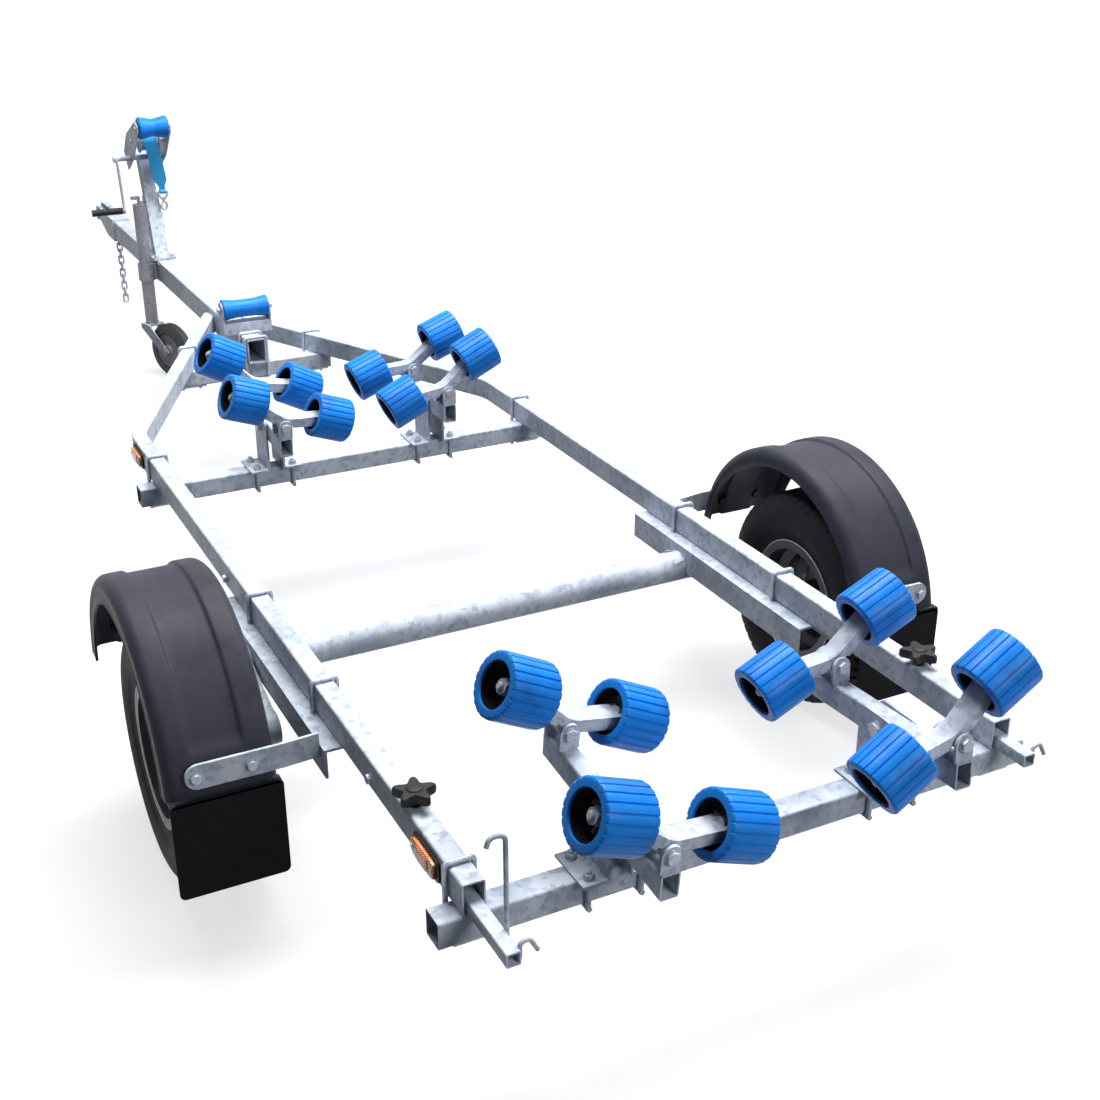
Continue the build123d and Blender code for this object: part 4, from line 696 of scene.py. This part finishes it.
parts = []
for side in (-1, 1):
    for at in (rear_beam_at, front_beam_at):
        parts += u_bolt(side * rail_x, place(at) + leg_gap, rail_half, frame_top, beam_low - plate_thick)
        parts.append(clamp_plate(side * rail_x, place(at) + leg_gap / 2, plate_long, plate_long, beam_low))
    for at in axle_clamps_at:
        parts += u_bolt(side * rail_x, place(at), rail_half, frame_top, base - axle_plate)
    x = side * (rail_x - (nose_y + leg_gap - place(bend_at)) * slope)
    half = (rail_half + wire + seat) / cos(np.arctan(slope)) - wire - seat
    parts += u_bolt(x, nose_y + leg_gap, half, frame_top, beam_low - plate_thick)
    parts.append(clamp_plate(x, nose_y + leg_gap / 2, front_plate, plate_long, beam_low))
for reach in (-leg_gap, leg_gap):
    parts += u_bolt(0, nose_y + reach, drawbar_half, drawbar_top, beam_low - plate_thick)
parts.append(clamp_plate(0, nose_y, nose_plate, nose_plate, beam_low))
make("square_u_bolts", parts, bright_zinc, "trailer_frame", replaces=["u_bolts"])
print("U-bolts and clamp plates")

# %% [markdown]
# Star knobs: moulded black phenolic with five round lobes and a domed boss, on a round neck. Seen
# from above the outline is one smooth wave of the angle.
# %% Star knobs
knob_at, knob_neck, lobe_count = 235, 13 * mm, 5
lobe_rings = [(0, 0.6), (0, 0.9), (1.2, 0.97), (3.5, 1.0), (13, 1.0), (16, 0.97), (17.8, 0.9), (18, 0.78)]
boss_rings = [(18.0, 15.0), (19.0, 14.0), (20.5, 12.5), (21.0, 9.0), (21.2, 0.5)]


def star_knob(x, y):
    """Rings of radius 29 + 8.5 cos 5t + 1.2 cos 10t, scaled at each height, that close over a boss."""
    t = np.arange(120) * 2 * pi / 120
    lobes = 29.0 + 8.5 * np.cos(lobe_count * t) + 1.2 * np.cos(2 * lobe_count * t)
    rows = [(h, lobes * share) for h, share in lobe_rings] + [(h, np.full_like(t, r)) for h, r in boss_rings]
    shape = np.stack([np.column_stack([x + r * mm * np.cos(t), y + r * mm * np.sin(t),
                                       np.full_like(t, frame_top + knob_neck + h * mm)]) for h, r in rows])
    neck = turned([(0, 12 * mm), (2 * mm, 13 * mm), (knob_neck, 11 * mm)], 24,
                  axes((x, y, frame_top), (0, 0, 1)))
    return [grid(shape, wrap_columns=True, cap=True), neck]


parts = []
for side in (-1, 1):
    parts += star_knob(side * rail_x, place(knob_at))
make("star_knobs", parts, knob_plastic, "trailer_frame", replaces=["bar_knobs"])
print("star knobs")

# %% [markdown]
# Safety chain: welded round links, each a stadium-shaped loop of bar turned a quarter from the
# one above.
# %% Safety chain
chain_low, chain_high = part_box("chain")
link_length, link_width, link_wire, link_count = 46 * mm, 28 * mm, 8 * mm, 9
straight, bend = (link_length - link_width) / 2, (link_width - link_wire) / 2
pitch = (chain_high[2] - chain_low[2] - link_length) / (link_count - 1)
chain_middle = ((chain_low[0] + chain_high[0]) / 2, (chain_low[1] + chain_high[1]) / 2)
parts = []
for index in range(link_count):
    z = chain_high[2] - link_length / 2 - index * pitch
    t = np.linspace(0, pi, 11)
    half_loop = np.column_stack([bend * np.cos(t), straight + bend * np.sin(t)])
    loop = np.concatenate([half_loop, -half_loop])
    flat = np.zeros((len(loop), 3))
    flat[:, index % 2] = loop[:, 0]
    flat[:, 2] = loop[:, 1]
    parts.append(carried(flat + (*chain_middle, z), ring(link_wire / 2 * 0.98, 10), closed=True,
                         up=(1, 0, 0) if index % 2 else (0, 1, 0)))
make("safety_chain_links", parts, bright_zinc, "trailer_frame", replaces=["chain"])
print("safety chain,", link_count, "links")

# %% [markdown]
# Lamp board bars: drawn square tube that slides in each rail, with a bent round hook welded to its
# end for the lamp board's cord and, on the left, a tall rod whose end is bent over. The left bar
# stands further out. The tube is two rounded squares carried along Y and joined at the ends.
# %% Lamp board bars
def square_tube(size, wall, corner, start, end, x, z):
    """An open square tube along Y: an outer and an inner loop of rounded squares, joined at both ends."""
    def loop(half, r):
        corners = [(a * half, b * half, 0) for a, b in ((-1, -1), (1, -1), (1, 1), (-1, 1))]
        return rounded(corners, r, 5, True)[:, :2]
    outside, inner = loop(size / 2, corner), loop(size / 2 - wall, corner * 0.4)
    rows = [np.column_stack([x + xy[:, 0], np.full(len(xy), y), z + xy[:, 1]])
            for xy, y in ((outside, start), (outside, end), (inner, end), (inner, start))]
    return grid(rows, wrap_rows=True, wrap_columns=True)


bar_z, bar_size, bar_wall, bar_front_at = base + 15.8 * mm, 25 * mm, 3 * mm, 420
hook_wire, hook_x, hook_in = 4 * mm, 14.5 * mm, 10 * mm
hook_points = [(0, -8), (0, 18), (16, 22), (30, -4)]
rod_wire, rod_x, rod_in = 4.2 * mm, 16.4 * mm, 58 * mm
rod_points = [(0, -8), (0, 181), (-26, 181), (-31, 166)]


def upright_rod(x, y, points, wire, bend):
    """A bent rod in the plane across the trailer, through (x, z) points in millimetres from its foot."""
    return bar([(x + a * mm, y, bar_z + b * mm) for a, b in points], wire, bend)


for side, name, reach in ((-1, "left", 140), (1, "right", 76)):
    x, end = side * rail_x, place(-reach)
    parts = [square_tube(bar_size, bar_wall, bar_wall, end, place(bar_front_at), x, bar_z),
             upright_rod(x + hook_x, end + hook_in, hook_points, hook_wire, 9 * mm)]
    if name == "left":
        parts.append(upright_rod(x + rod_x, end + rod_in, rod_points, rod_wire, 13 * mm))
    make(f"lamp_board_bar_{name}", parts, galvanised_steel, f"lamp_bar_{name}",
         replaces=[f"light_bar_{name}"])
print("two lamp board bars")

# %% [markdown]
# Side lamps: a low amber lens over a black base, held by two screws. The lens is a rounded block
# whose section is a superellipse, so its edges catch the light as a moulded lens does.
# %% Side lamps
def pillow(centre, sizes, power=5.0, steps=40, rows=18):
    """A rounded block: each of x, y and z is a signed power 2/n of a sphere's, times half a size."""
    u = np.linspace(-pi / 2, pi / 2, rows + 2)[1:-1]
    v = np.arange(steps) * 2 * pi / steps

    def keen(value):
        return np.sign(value) * np.abs(value) ** (2 / power)
    round_u = keen(np.cos(u))[:, None]
    shape = np.stack([keen(np.sin(u))[:, None] * np.ones(steps), round_u * keen(np.cos(v)),
                      round_u * keen(np.sin(v))], -1)
    return grid(shape * np.array(sizes) / 2 + np.array(centre), wrap_columns=True, cap=True)


lamp_places, lamp_z, screw_reach, screw_out = (135, 2124), frame_top - 33 * mm, 38 * mm, 12.4 * mm
screw_profile = np.array([(0, 4.2), (1.6, 3.8), (2.4, 1.5)]) * mm


def lamp_block(side, at, out, sizes, power):
    """A rounded block of a side lamp, its middle so many millimetres out from the rail's face."""
    return pillow((side * (rail_outside + out * mm), place(at), lamp_z), np.array(sizes) * mm, power)


lens_parts, base_parts, screw_parts = [], [], []
for side in (-1, 1):
    for at in lamp_places:
        base_parts.append(lamp_block(side, at, 2.6, (5, 106, 43), 7))
        lens_parts += [lamp_block(side, at, 7.6, (10, 92, 33), 6), lamp_block(side, at, 12.0, (5, 52, 27), 5)]
        for reach in (-screw_reach, screw_reach):
            foot = (side * (rail_outside + screw_out), place(at) + reach, lamp_z)
            screw_parts.append(turned(screw_profile, 16, axes(foot, (side, 0, 0))))
make("amber_lenses", lens_parts, amber_lens, "trailer_frame", replaces=["side_lamps"])
make("lamp_bases", base_parts, knob_plastic, "trailer_frame")
make("lamp_screws", screw_parts, bright_zinc, "trailer_frame")
print("four side lamps")

# %% [markdown]
# Bolts of the frame: hexagons on washers where the stays hold the mudguards, on the saddles' feet
# and ears, at the keel roller and through the rails. Nuts inside the mudguards are black plastic caps.
# %% Frame bolts
stay_z, stay_bolts, outer_reach, inner_reach = frame_top - 59 * mm, (811, 709), 333.7, 312.0
rail_bolts_at, rail_bolt_z = (392, 1290), frame_top - 36 * mm
ear_half, foot_half, foot_reach, foot_top = 23, 49, 30.3, frame_top - 55 * mm
keel_roller_at, keel_half, keel_z = 2958, 79.5 * mm, frame_top + 98 * mm
parts, caps = [], []
for side in (-1, 1):
    for end in (-1, 1):
        for x in stay_bolts:
            parts += fixing((side * x * mm, place(axle_at + end * outer_reach), stay_z), (0, end, 0),
                            *small_bolt)
            caps.append(hexagon((side * x * mm, place(axle_at + end * inner_reach), stay_z), (0, -end, 0),
                                20 * mm, 9 * mm))
    for at in rail_bolts_at:
        parts += fixing((side * rail_outside, place(at), rail_bolt_z), (side, 0, 0), *small_bolt)
for at, saddle_x, rise in ((rear_beam_at, 280, 41), (front_beam_at, 230, 54)):
    for side, hand in ((-1, -1), (-1, 1), (1, -1), (1, 1)):
        middle = side * saddle_x
        parts += fixing(((middle + hand * ear_half) * mm, place(at), frame_top + rise * mm), (hand, 0, 0),
                        25 * mm, 8 * mm, 5 * mm if hand > 0 else 0, 7.5 * mm)
        for end in (-1, 1):
            parts += fixing(((middle + hand * foot_half) * mm, place(at + end * foot_reach), foot_top),
                            (0, 0, 1), 17.4 * mm, 8 * mm, 6 * mm)
for hand in (-1, 1):
    parts += fixing((hand * keel_half, place(keel_roller_at), keel_z), (hand, 0, 0),
                    20 * mm, 7.5 * mm, 3 * mm, 6 * mm)
make("frame_bolts", parts, bright_zinc, "trailer_frame")
make("black_nut_caps", caps, knob_plastic, "trailer_frame")
print(len(parts), "bolt parts")

# %% [markdown]
# Swinging arms carry the V brackets on a bolt through two ears. Under each leg of a V two round
# bars run from the pivot tube towards the roller, which stiffens the pressed channel, and a nut
# closes the roller's spindle outside. Each piece rides on the body it belongs to, and its place
# comes from the joints, so it follows the arms at every pose.
# %% Swivel bolts and V bracket bars
ear_out, flank_gap, bar_radius = 29 * mm, 14.4, 5.0 * mm
bar_route = [(25, 5), (60, 14.5), (104, 29.5)]
spindle_end, spindle_lift, spindle_radius = 143.0 * mm, 42 * mm, 7.9 * mm
for joint in frame["record"]["behaviour"]["joints"]:
    if not joint["child"].startswith("swivel_"):
        continue
    pivot, along = np.array(joint["pos_m"]), np.array(joint["axis"])
    spot = joint["child"].replace("swivel_", "")
    head = fixing(pivot - along * ear_out, -along, 21 * mm, 6.5 * mm, 0, 6 * mm)
    nut = fixing(pivot + along * ear_out, along, 21 * mm, 6.5 * mm, 4 * mm, 6 * mm)
    make(f"swivel_bolt_{spot}", head + nut, bright_zinc, joint["parent"])
    spindle = np.array(joints[f"hull_roller_{spot}_port"]["axis"])
    lift = np.cross(spindle, along)
    parts = []
    for out in (-spindle, spindle):
        for flank in (-flank_gap, flank_gap):
            route = [pivot + out * a * mm + lift * b * mm + along * flank * mm for a, b in bar_route]
            parts.append(bar(route, bar_radius, 40 * mm))
        end = pivot + out * spindle_end + lift * spindle_lift
        parts += [washer(end, out, 15 * mm, 2.5 * mm, 6 * mm),
                  hexagon(end + out * 1.0 * mm, out, 26 * mm, 9.5 * mm),
                  stud(end + out * 10.5 * mm, out, spindle_radius, 6 * mm)]
    make(f"vee_bars_{spot}", parts, galvanised_steel, joint["child"])
print("swivel bolts and V bracket bars")

# %% [markdown]
# Winch strap: 50 mm webbing wound on the drum and drawn tight down to its hook. It is a ribbon of
# constant width that is folded and sewn to a narrow loop at the hook; the roll is turned. The hook
# is a bent D ring with a snap hook in it.
# %% Winch strap and hook
post_y, drum_z = place(post_at), frame_top + 458 * mm
strap_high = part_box("strap")[1]
drum_y, half_thick, soft_edge, eye_x = post_y + 8 * mm, 1.5 * mm, 0.8 * mm, 38 * mm
roll = min(strap_high[1] - drum_y, strap_high[2] - drum_z)
start = np.array([0.0, drum_y - roll + half_thick, drum_z])
middle = np.array([eye_x / 3, post_y - 18 * mm, frame_top + 400 * mm])
finish = np.array([eye_x, post_y + 20 * mm, frame_top + 262 * mm])
route = rounded([start, middle, finish], 180 * mm, 14)
route = np.concatenate([route[:1] + (route[1:2] - route[:1]) * np.linspace(0, 0.95, 8)[:, None], route[1:-1],
                        route[-2:-1] + (route[-1:] - route[-2:-1]) * np.linspace(0.05, 1, 24)[:, None]])
gone = np.concatenate([[0], np.cumsum(np.linalg.norm(np.diff(route, axis=0), axis=1))])
strap_half, narrower, narrow_from, narrow_over = 25.0 * mm, 13.5 * mm, 52 * mm, 34 * mm
half_width = strap_half - narrower * smooth_steps((gone - gone[-1] + narrow_from) / narrow_over)
ahead = np.gradient(route, axis=0)
ahead /= np.linalg.norm(ahead, axis=1)[:, None]
outward = np.cross(ahead, (1.0, 0.0, 0.0))
outward /= np.linalg.norm(outward, axis=1)[:, None]
rows = []
for point, half, face in zip(route, half_width, outward):
    top = [(-half, 0.5), (-half + soft_edge, 1), (half - soft_edge, 1), (half, 0.5)]
    section = [(x, -share) for x, share in top] + top[::-1]
    rows.append([point + np.array([x, 0, 0]) + face * share * half_thick for x, share in section])
wound = np.array(mirrored([(25, 18), (25, roll / mm - 0.4), (24.2, roll / mm)])) * mm
sewn_eye = np.array(mirrored([(11.5, 4.6), (11.5, 9.0)])) * mm
parts = [grid(rows, wrap_columns=True, cap=True),
         turned(wound, 48, axes((0, drum_y, drum_z), (1, 0, 0)), wrap=True),
         turned(sewn_eye, 24, axes(finish, (1, 0, 0)), wrap=True)]
make("winch_strap", parts, webbing, "trailer_frame", sharp=40, replaces=["strap"])


def hung(points):
    """A path in the plane across the trailer, in millimetres from the strap's eye."""
    return [finish + np.array([x, 0, z]) * mm for x, z in points]


d_ring = hung([(-17, 0), (17, 0), (17, -13), (4, -30), (-4, -30), (-17, -13)])
snap = hung([(0, -23), (0, -38), (11, -46), (11, -62), (0, -70), (-11, -62), (-11, -50)])
tongue = hung([(-1, -37), (-11, -51)])
parts = [bar(d_ring, 4 * mm, 5 * mm, closed=True), bar(snap, 4.4 * mm, 8 * mm), bar(tongue, 2.4 * mm, 4 * mm)]
make("snap_hook", parts, bright_zinc, "trailer_frame", replaces=["strap_hook"])
print("winch strap and snap hook")

# %% [markdown]
# Winch post: bolts hold its foot to the drawbar and cross the tube, and a pin with a pull ring
# locks the mast. The crank keeps a nut on its shaft and a washer at its grip.
# %% Bolts of the post and the crank
lean, foot_top_above, post_half = tan(radians(20.0)), 28 * mm, 25 * mm
foot_x, foot_y, post_bolt_rises, pin_rise = 31 * mm, 62 * mm, (128 * mm, 168 * mm), 218 * mm


def post_middle(rise):
    """The leaning tube's middle in Y, so far above the frame: the rise above its foot times tan(lean)."""
    return post_y + (rise - foot_top_above) * lean


parts = []
for x, y in ((-foot_x, -foot_y), (-foot_x, foot_y), (foot_x, -foot_y), (foot_x, foot_y)):
    parts += fixing((x, post_y + y, frame_top + foot_top_above), (0, 0, 1), *small_nut, 4 * mm)
for rise in post_bolt_rises:
    for hand in (-1, 1):
        parts += fixing((hand * post_half, post_middle(rise), frame_top + rise), (hand, 0, 0), *small_bolt)
pin_y, pin_z = post_middle(pin_rise), frame_top + pin_rise
parts.append(bar([(-24 * mm, pin_y, pin_z), (-43 * mm, pin_y, pin_z)], 5 * mm, 1 * mm))
pull_x, pull_drop, pull_radius, pull_wire = -40 * mm, 10 * mm, 14 * mm, 2.2 * mm
t = np.arange(24) * 2 * pi / 24
pull = np.column_stack([np.full(24, pull_x), pin_y + pull_radius * np.sin(t),
                        pin_z - pull_drop + pull_radius * np.cos(t)])
parts.append(carried(pull, ring(pull_wire, 8), closed=True, up=(1, 0, 0)))
make("post_bolts_and_pin", parts, bright_zinc, "trailer_frame")
crank_y, crank_z, crank_out = post_y + 52 * mm, frame_top + 390 * mm, -118 * mm
crank_reach, crank_turn = 190 * mm, radians(12)
grip_y, grip_z = crank_y - crank_reach * sin(crank_turn), crank_z - crank_reach * cos(crank_turn)
parts = [washer((crank_out, crank_y, crank_z), (-1, 0, 0), 13 * mm, 2.5 * mm, 5 * mm),
         hexagon((crank_out - 1 * mm, crank_y, crank_z), (-1, 0, 0), 22 * mm, 10 * mm),
         washer((crank_out, grip_y, grip_z), (-1, 0, 0), 14 * mm, 3 * mm, 5 * mm)]
make("crank_nut_and_washer", parts, bright_zinc, "winch_crank")
print("bolts of the post and the crank")

# %% [markdown]
# The jockey wheel has a moulded hub: a thin web between its boss and its rim.
# %% Jockey wheel hub
joint = joints["jockey_roller"]
matrix = axes(joint["pos_m"], joint["axis"])
hub = mirrored([(27, 9), (27, 20), (24, 24), (19, 26), (19, 52), (22, 60), (22, 64), (16, 64)])
make("jockey_hub", [turned(np.array(hub) * mm, 48, matrix, wrap=True)], spoke_plastic, "jockey_roller")
print("jockey wheel hub")

# %% [markdown]
# The frame's own nodes keep their solids. A small bevel gives pressed and rolled edges the
# highlight that zinc-coated steel has; it is a modifier, so the frame itself isn't touched.
# %% Soft edges on the solids
bevels = {"axle_frame": 1.5, "cross_members": 1.2, "drawbar": 1.2, "rail_left": 0.8, "rail_right": 0.8,
          "mudguard_stays": 1.0, "roller_brackets": 1.0, "winch_post": 1.0, "winch_mast": 1.0,
          "coupling": 2.0, "jockey_clamp": 1.5, "jockey_fork": 1.0, "jockey_stem": 1.0,
          "jockey_wheel": 2.0, "crank": 1.0, "crank_grip": 1.5, "rim_left": 1.0, "rim_right": 1.0,
          "keel_roller": 2.0, "bow_roller": 2.0}
for name, solid in nodes.items():
    width = bevels.get(name, 1.0 if name.startswith(("arm_", "vee_")) else 0.0)
    if width:
        bevel = solid.modifiers.new("soft_edges", "BEVEL")
        bevel.width, bevel.segments = width * mm, 2
        bevel.limit_method, bevel.angle_limit = "ANGLE", radians(35)
print("soft edges on the solids")

# %% [markdown]
# The photograph's camera stood behind the trailer's left rear corner, about 1.8 m up, looking
# forward and down with a short telephoto lens. Its focal length was found in the photograph's
# pixels, so that length over the picture's width gives the lens for any sensor.
# %% Camera
focal_pixels, picture_pixels, sensor = 1500.5, 1100, 36.0
camera_place = Vector((-1.269, float(tail) - 1.716, 1.837))
yaw, pitch = radians(-26.98), radians(-24.73)
ahead = Vector((-sin(yaw) * cos(pitch), cos(yaw) * cos(pitch), sin(pitch)))
lens = bpy.data.cameras.new("camera")
lens.sensor_width = sensor
lens.lens = sensor * focal_pixels / picture_pixels
camera = bpy.data.objects.new("camera", lens)
bpy.context.scene.collection.objects.link(camera)
camera.location = camera_place
camera.rotation_euler = ahead.to_track_quat("-Z", "Y").to_euler()
bpy.context.scene.camera = camera
print("camera at", [round(v, 3) for v in camera_place])

# %% [markdown]
# A plain studio like a product picture's: a white floor and a white backdrop, a broad soft light
# overhead and a weaker one behind the trailer. The white that the camera and the shiny steel see
# comes from Light Path in the floor and the world, not from more light on the trailer. Such rays
# see a floor that is part paint, which the trailer shades, and part glow, which grows with the
# distance and melts into the backdrop; to every other ray the floor is a dull grey.
# %% Floor, lights and sky
def larger(tree, first, second):
    """The larger of two values."""
    return add(tree, "ShaderNodeMath", {"operation": "MAXIMUM"}, i0=first, i1=second).outputs[0]


def seen_directly(tree):
    """1 for camera, glossy and transmission rays, else 0."""
    path = add(tree, "ShaderNodeLightPath")
    most = larger(tree, path.outputs["Is Camera Ray"], path.outputs["Is Glossy Ray"])
    return larger(tree, most, path.outputs["Is Transmission Ray"])


floor_mesh = bpy.data.meshes.new("floor")
reach, glow_near, glow_far = 60.0, 2.2, 7.0
corners = [(a * reach, b * reach, 0) for a, b in ((-1, -1), (1, -1), (1, 1), (-1, 1))]
floor_mesh.from_pydata(corners, [], [(0, 1, 2, 3)])
floor = bpy.data.objects.new("floor", floor_mesh)
bpy.context.scene.collection.objects.link(floor)
floor_paint, tree, surface = shader("white_floor", "4C4E52", 0.9, Specular_IOR_Level=0.0)
shaded = add(tree, "ShaderNodeBsdfDiffuse", Color=hexed("8E9094"))
away = add(tree, "ShaderNodeVectorMath", {"operation": "LENGTH"}, i0=coordinates(tree)).outputs["Value"]
glow = add(tree, "ShaderNodeEmission", Color=hexed("FFFFFF"),
           Strength=spread(tree, away, 0.70, 1.0, glow_near, glow_far))
both = add(tree, "ShaderNodeAddShader", i0=shaded.outputs["BSDF"], i1=glow.outputs["Emission"])
chosen = add(tree, "ShaderNodeMixShader", Fac=seen_directly(tree), i1=surface.outputs["BSDF"],
             i2=both.outputs["Shader"])
tree.links.new(chosen.outputs["Shader"], tree.nodes["Material Output"].inputs["Surface"])
floor_mesh.materials.append(floor_paint)


def lamp(name, at, aim, power, width, height):
    """One rectangular soft light aimed at a point."""
    light = bpy.data.lights.new(name, "AREA")
    light.shape = "RECTANGLE"
    light.size, light.size_y, light.energy = width, height, power
    holder = bpy.data.objects.new(name, light)
    holder.location = at
    holder.rotation_euler = (Vector(aim) - Vector(at)).to_track_quat("-Z", "Y").to_euler()
    bpy.context.scene.collection.objects.link(holder)


lamp("overhead_light", (1.1, -0.2, 5.4), (0.1, 0.0, 0.3), 760.0, 3.0, 5.6)
lamp("rear_light", (1.6, -6.8, 3.2), (0.0, 0.0, 0.3), 150.0, 2.4, 1.6)

sky = bpy.data.worlds.new("studio")
bpy.context.scene.world = sky
sky.use_nodes = True
tree = sky.node_tree
direction = add(tree, "ShaderNodeTexCoord").outputs["Generated"]
up = add(tree, "ShaderNodeSeparateXYZ", Vector=direction).outputs["Z"]
studio = add(tree, "ShaderNodeBackground", Color=ramp(tree, spread(tree, up, 0.0, 1.0, -0.1, 1.0), (
    (0.0, "1C1E22"), (0.35, "44484E"), (0.65, "8E98A6"), (1.0, "FFFFFF"))), Strength=0.22)
white = add(tree, "ShaderNodeBackground", Color=hexed("FFFFFF"), Strength=1.0)
mix = add(tree, "ShaderNodeMixShader", Fac=seen_directly(tree), i1=studio.outputs["Background"],
          i2=white.outputs["Background"])
tree.links.new(mix.outputs["Shader"], tree.nodes["World Output"].inputs["Surface"])
bpy.context.scene.view_settings.view_transform = "Standard"
print("studio set")
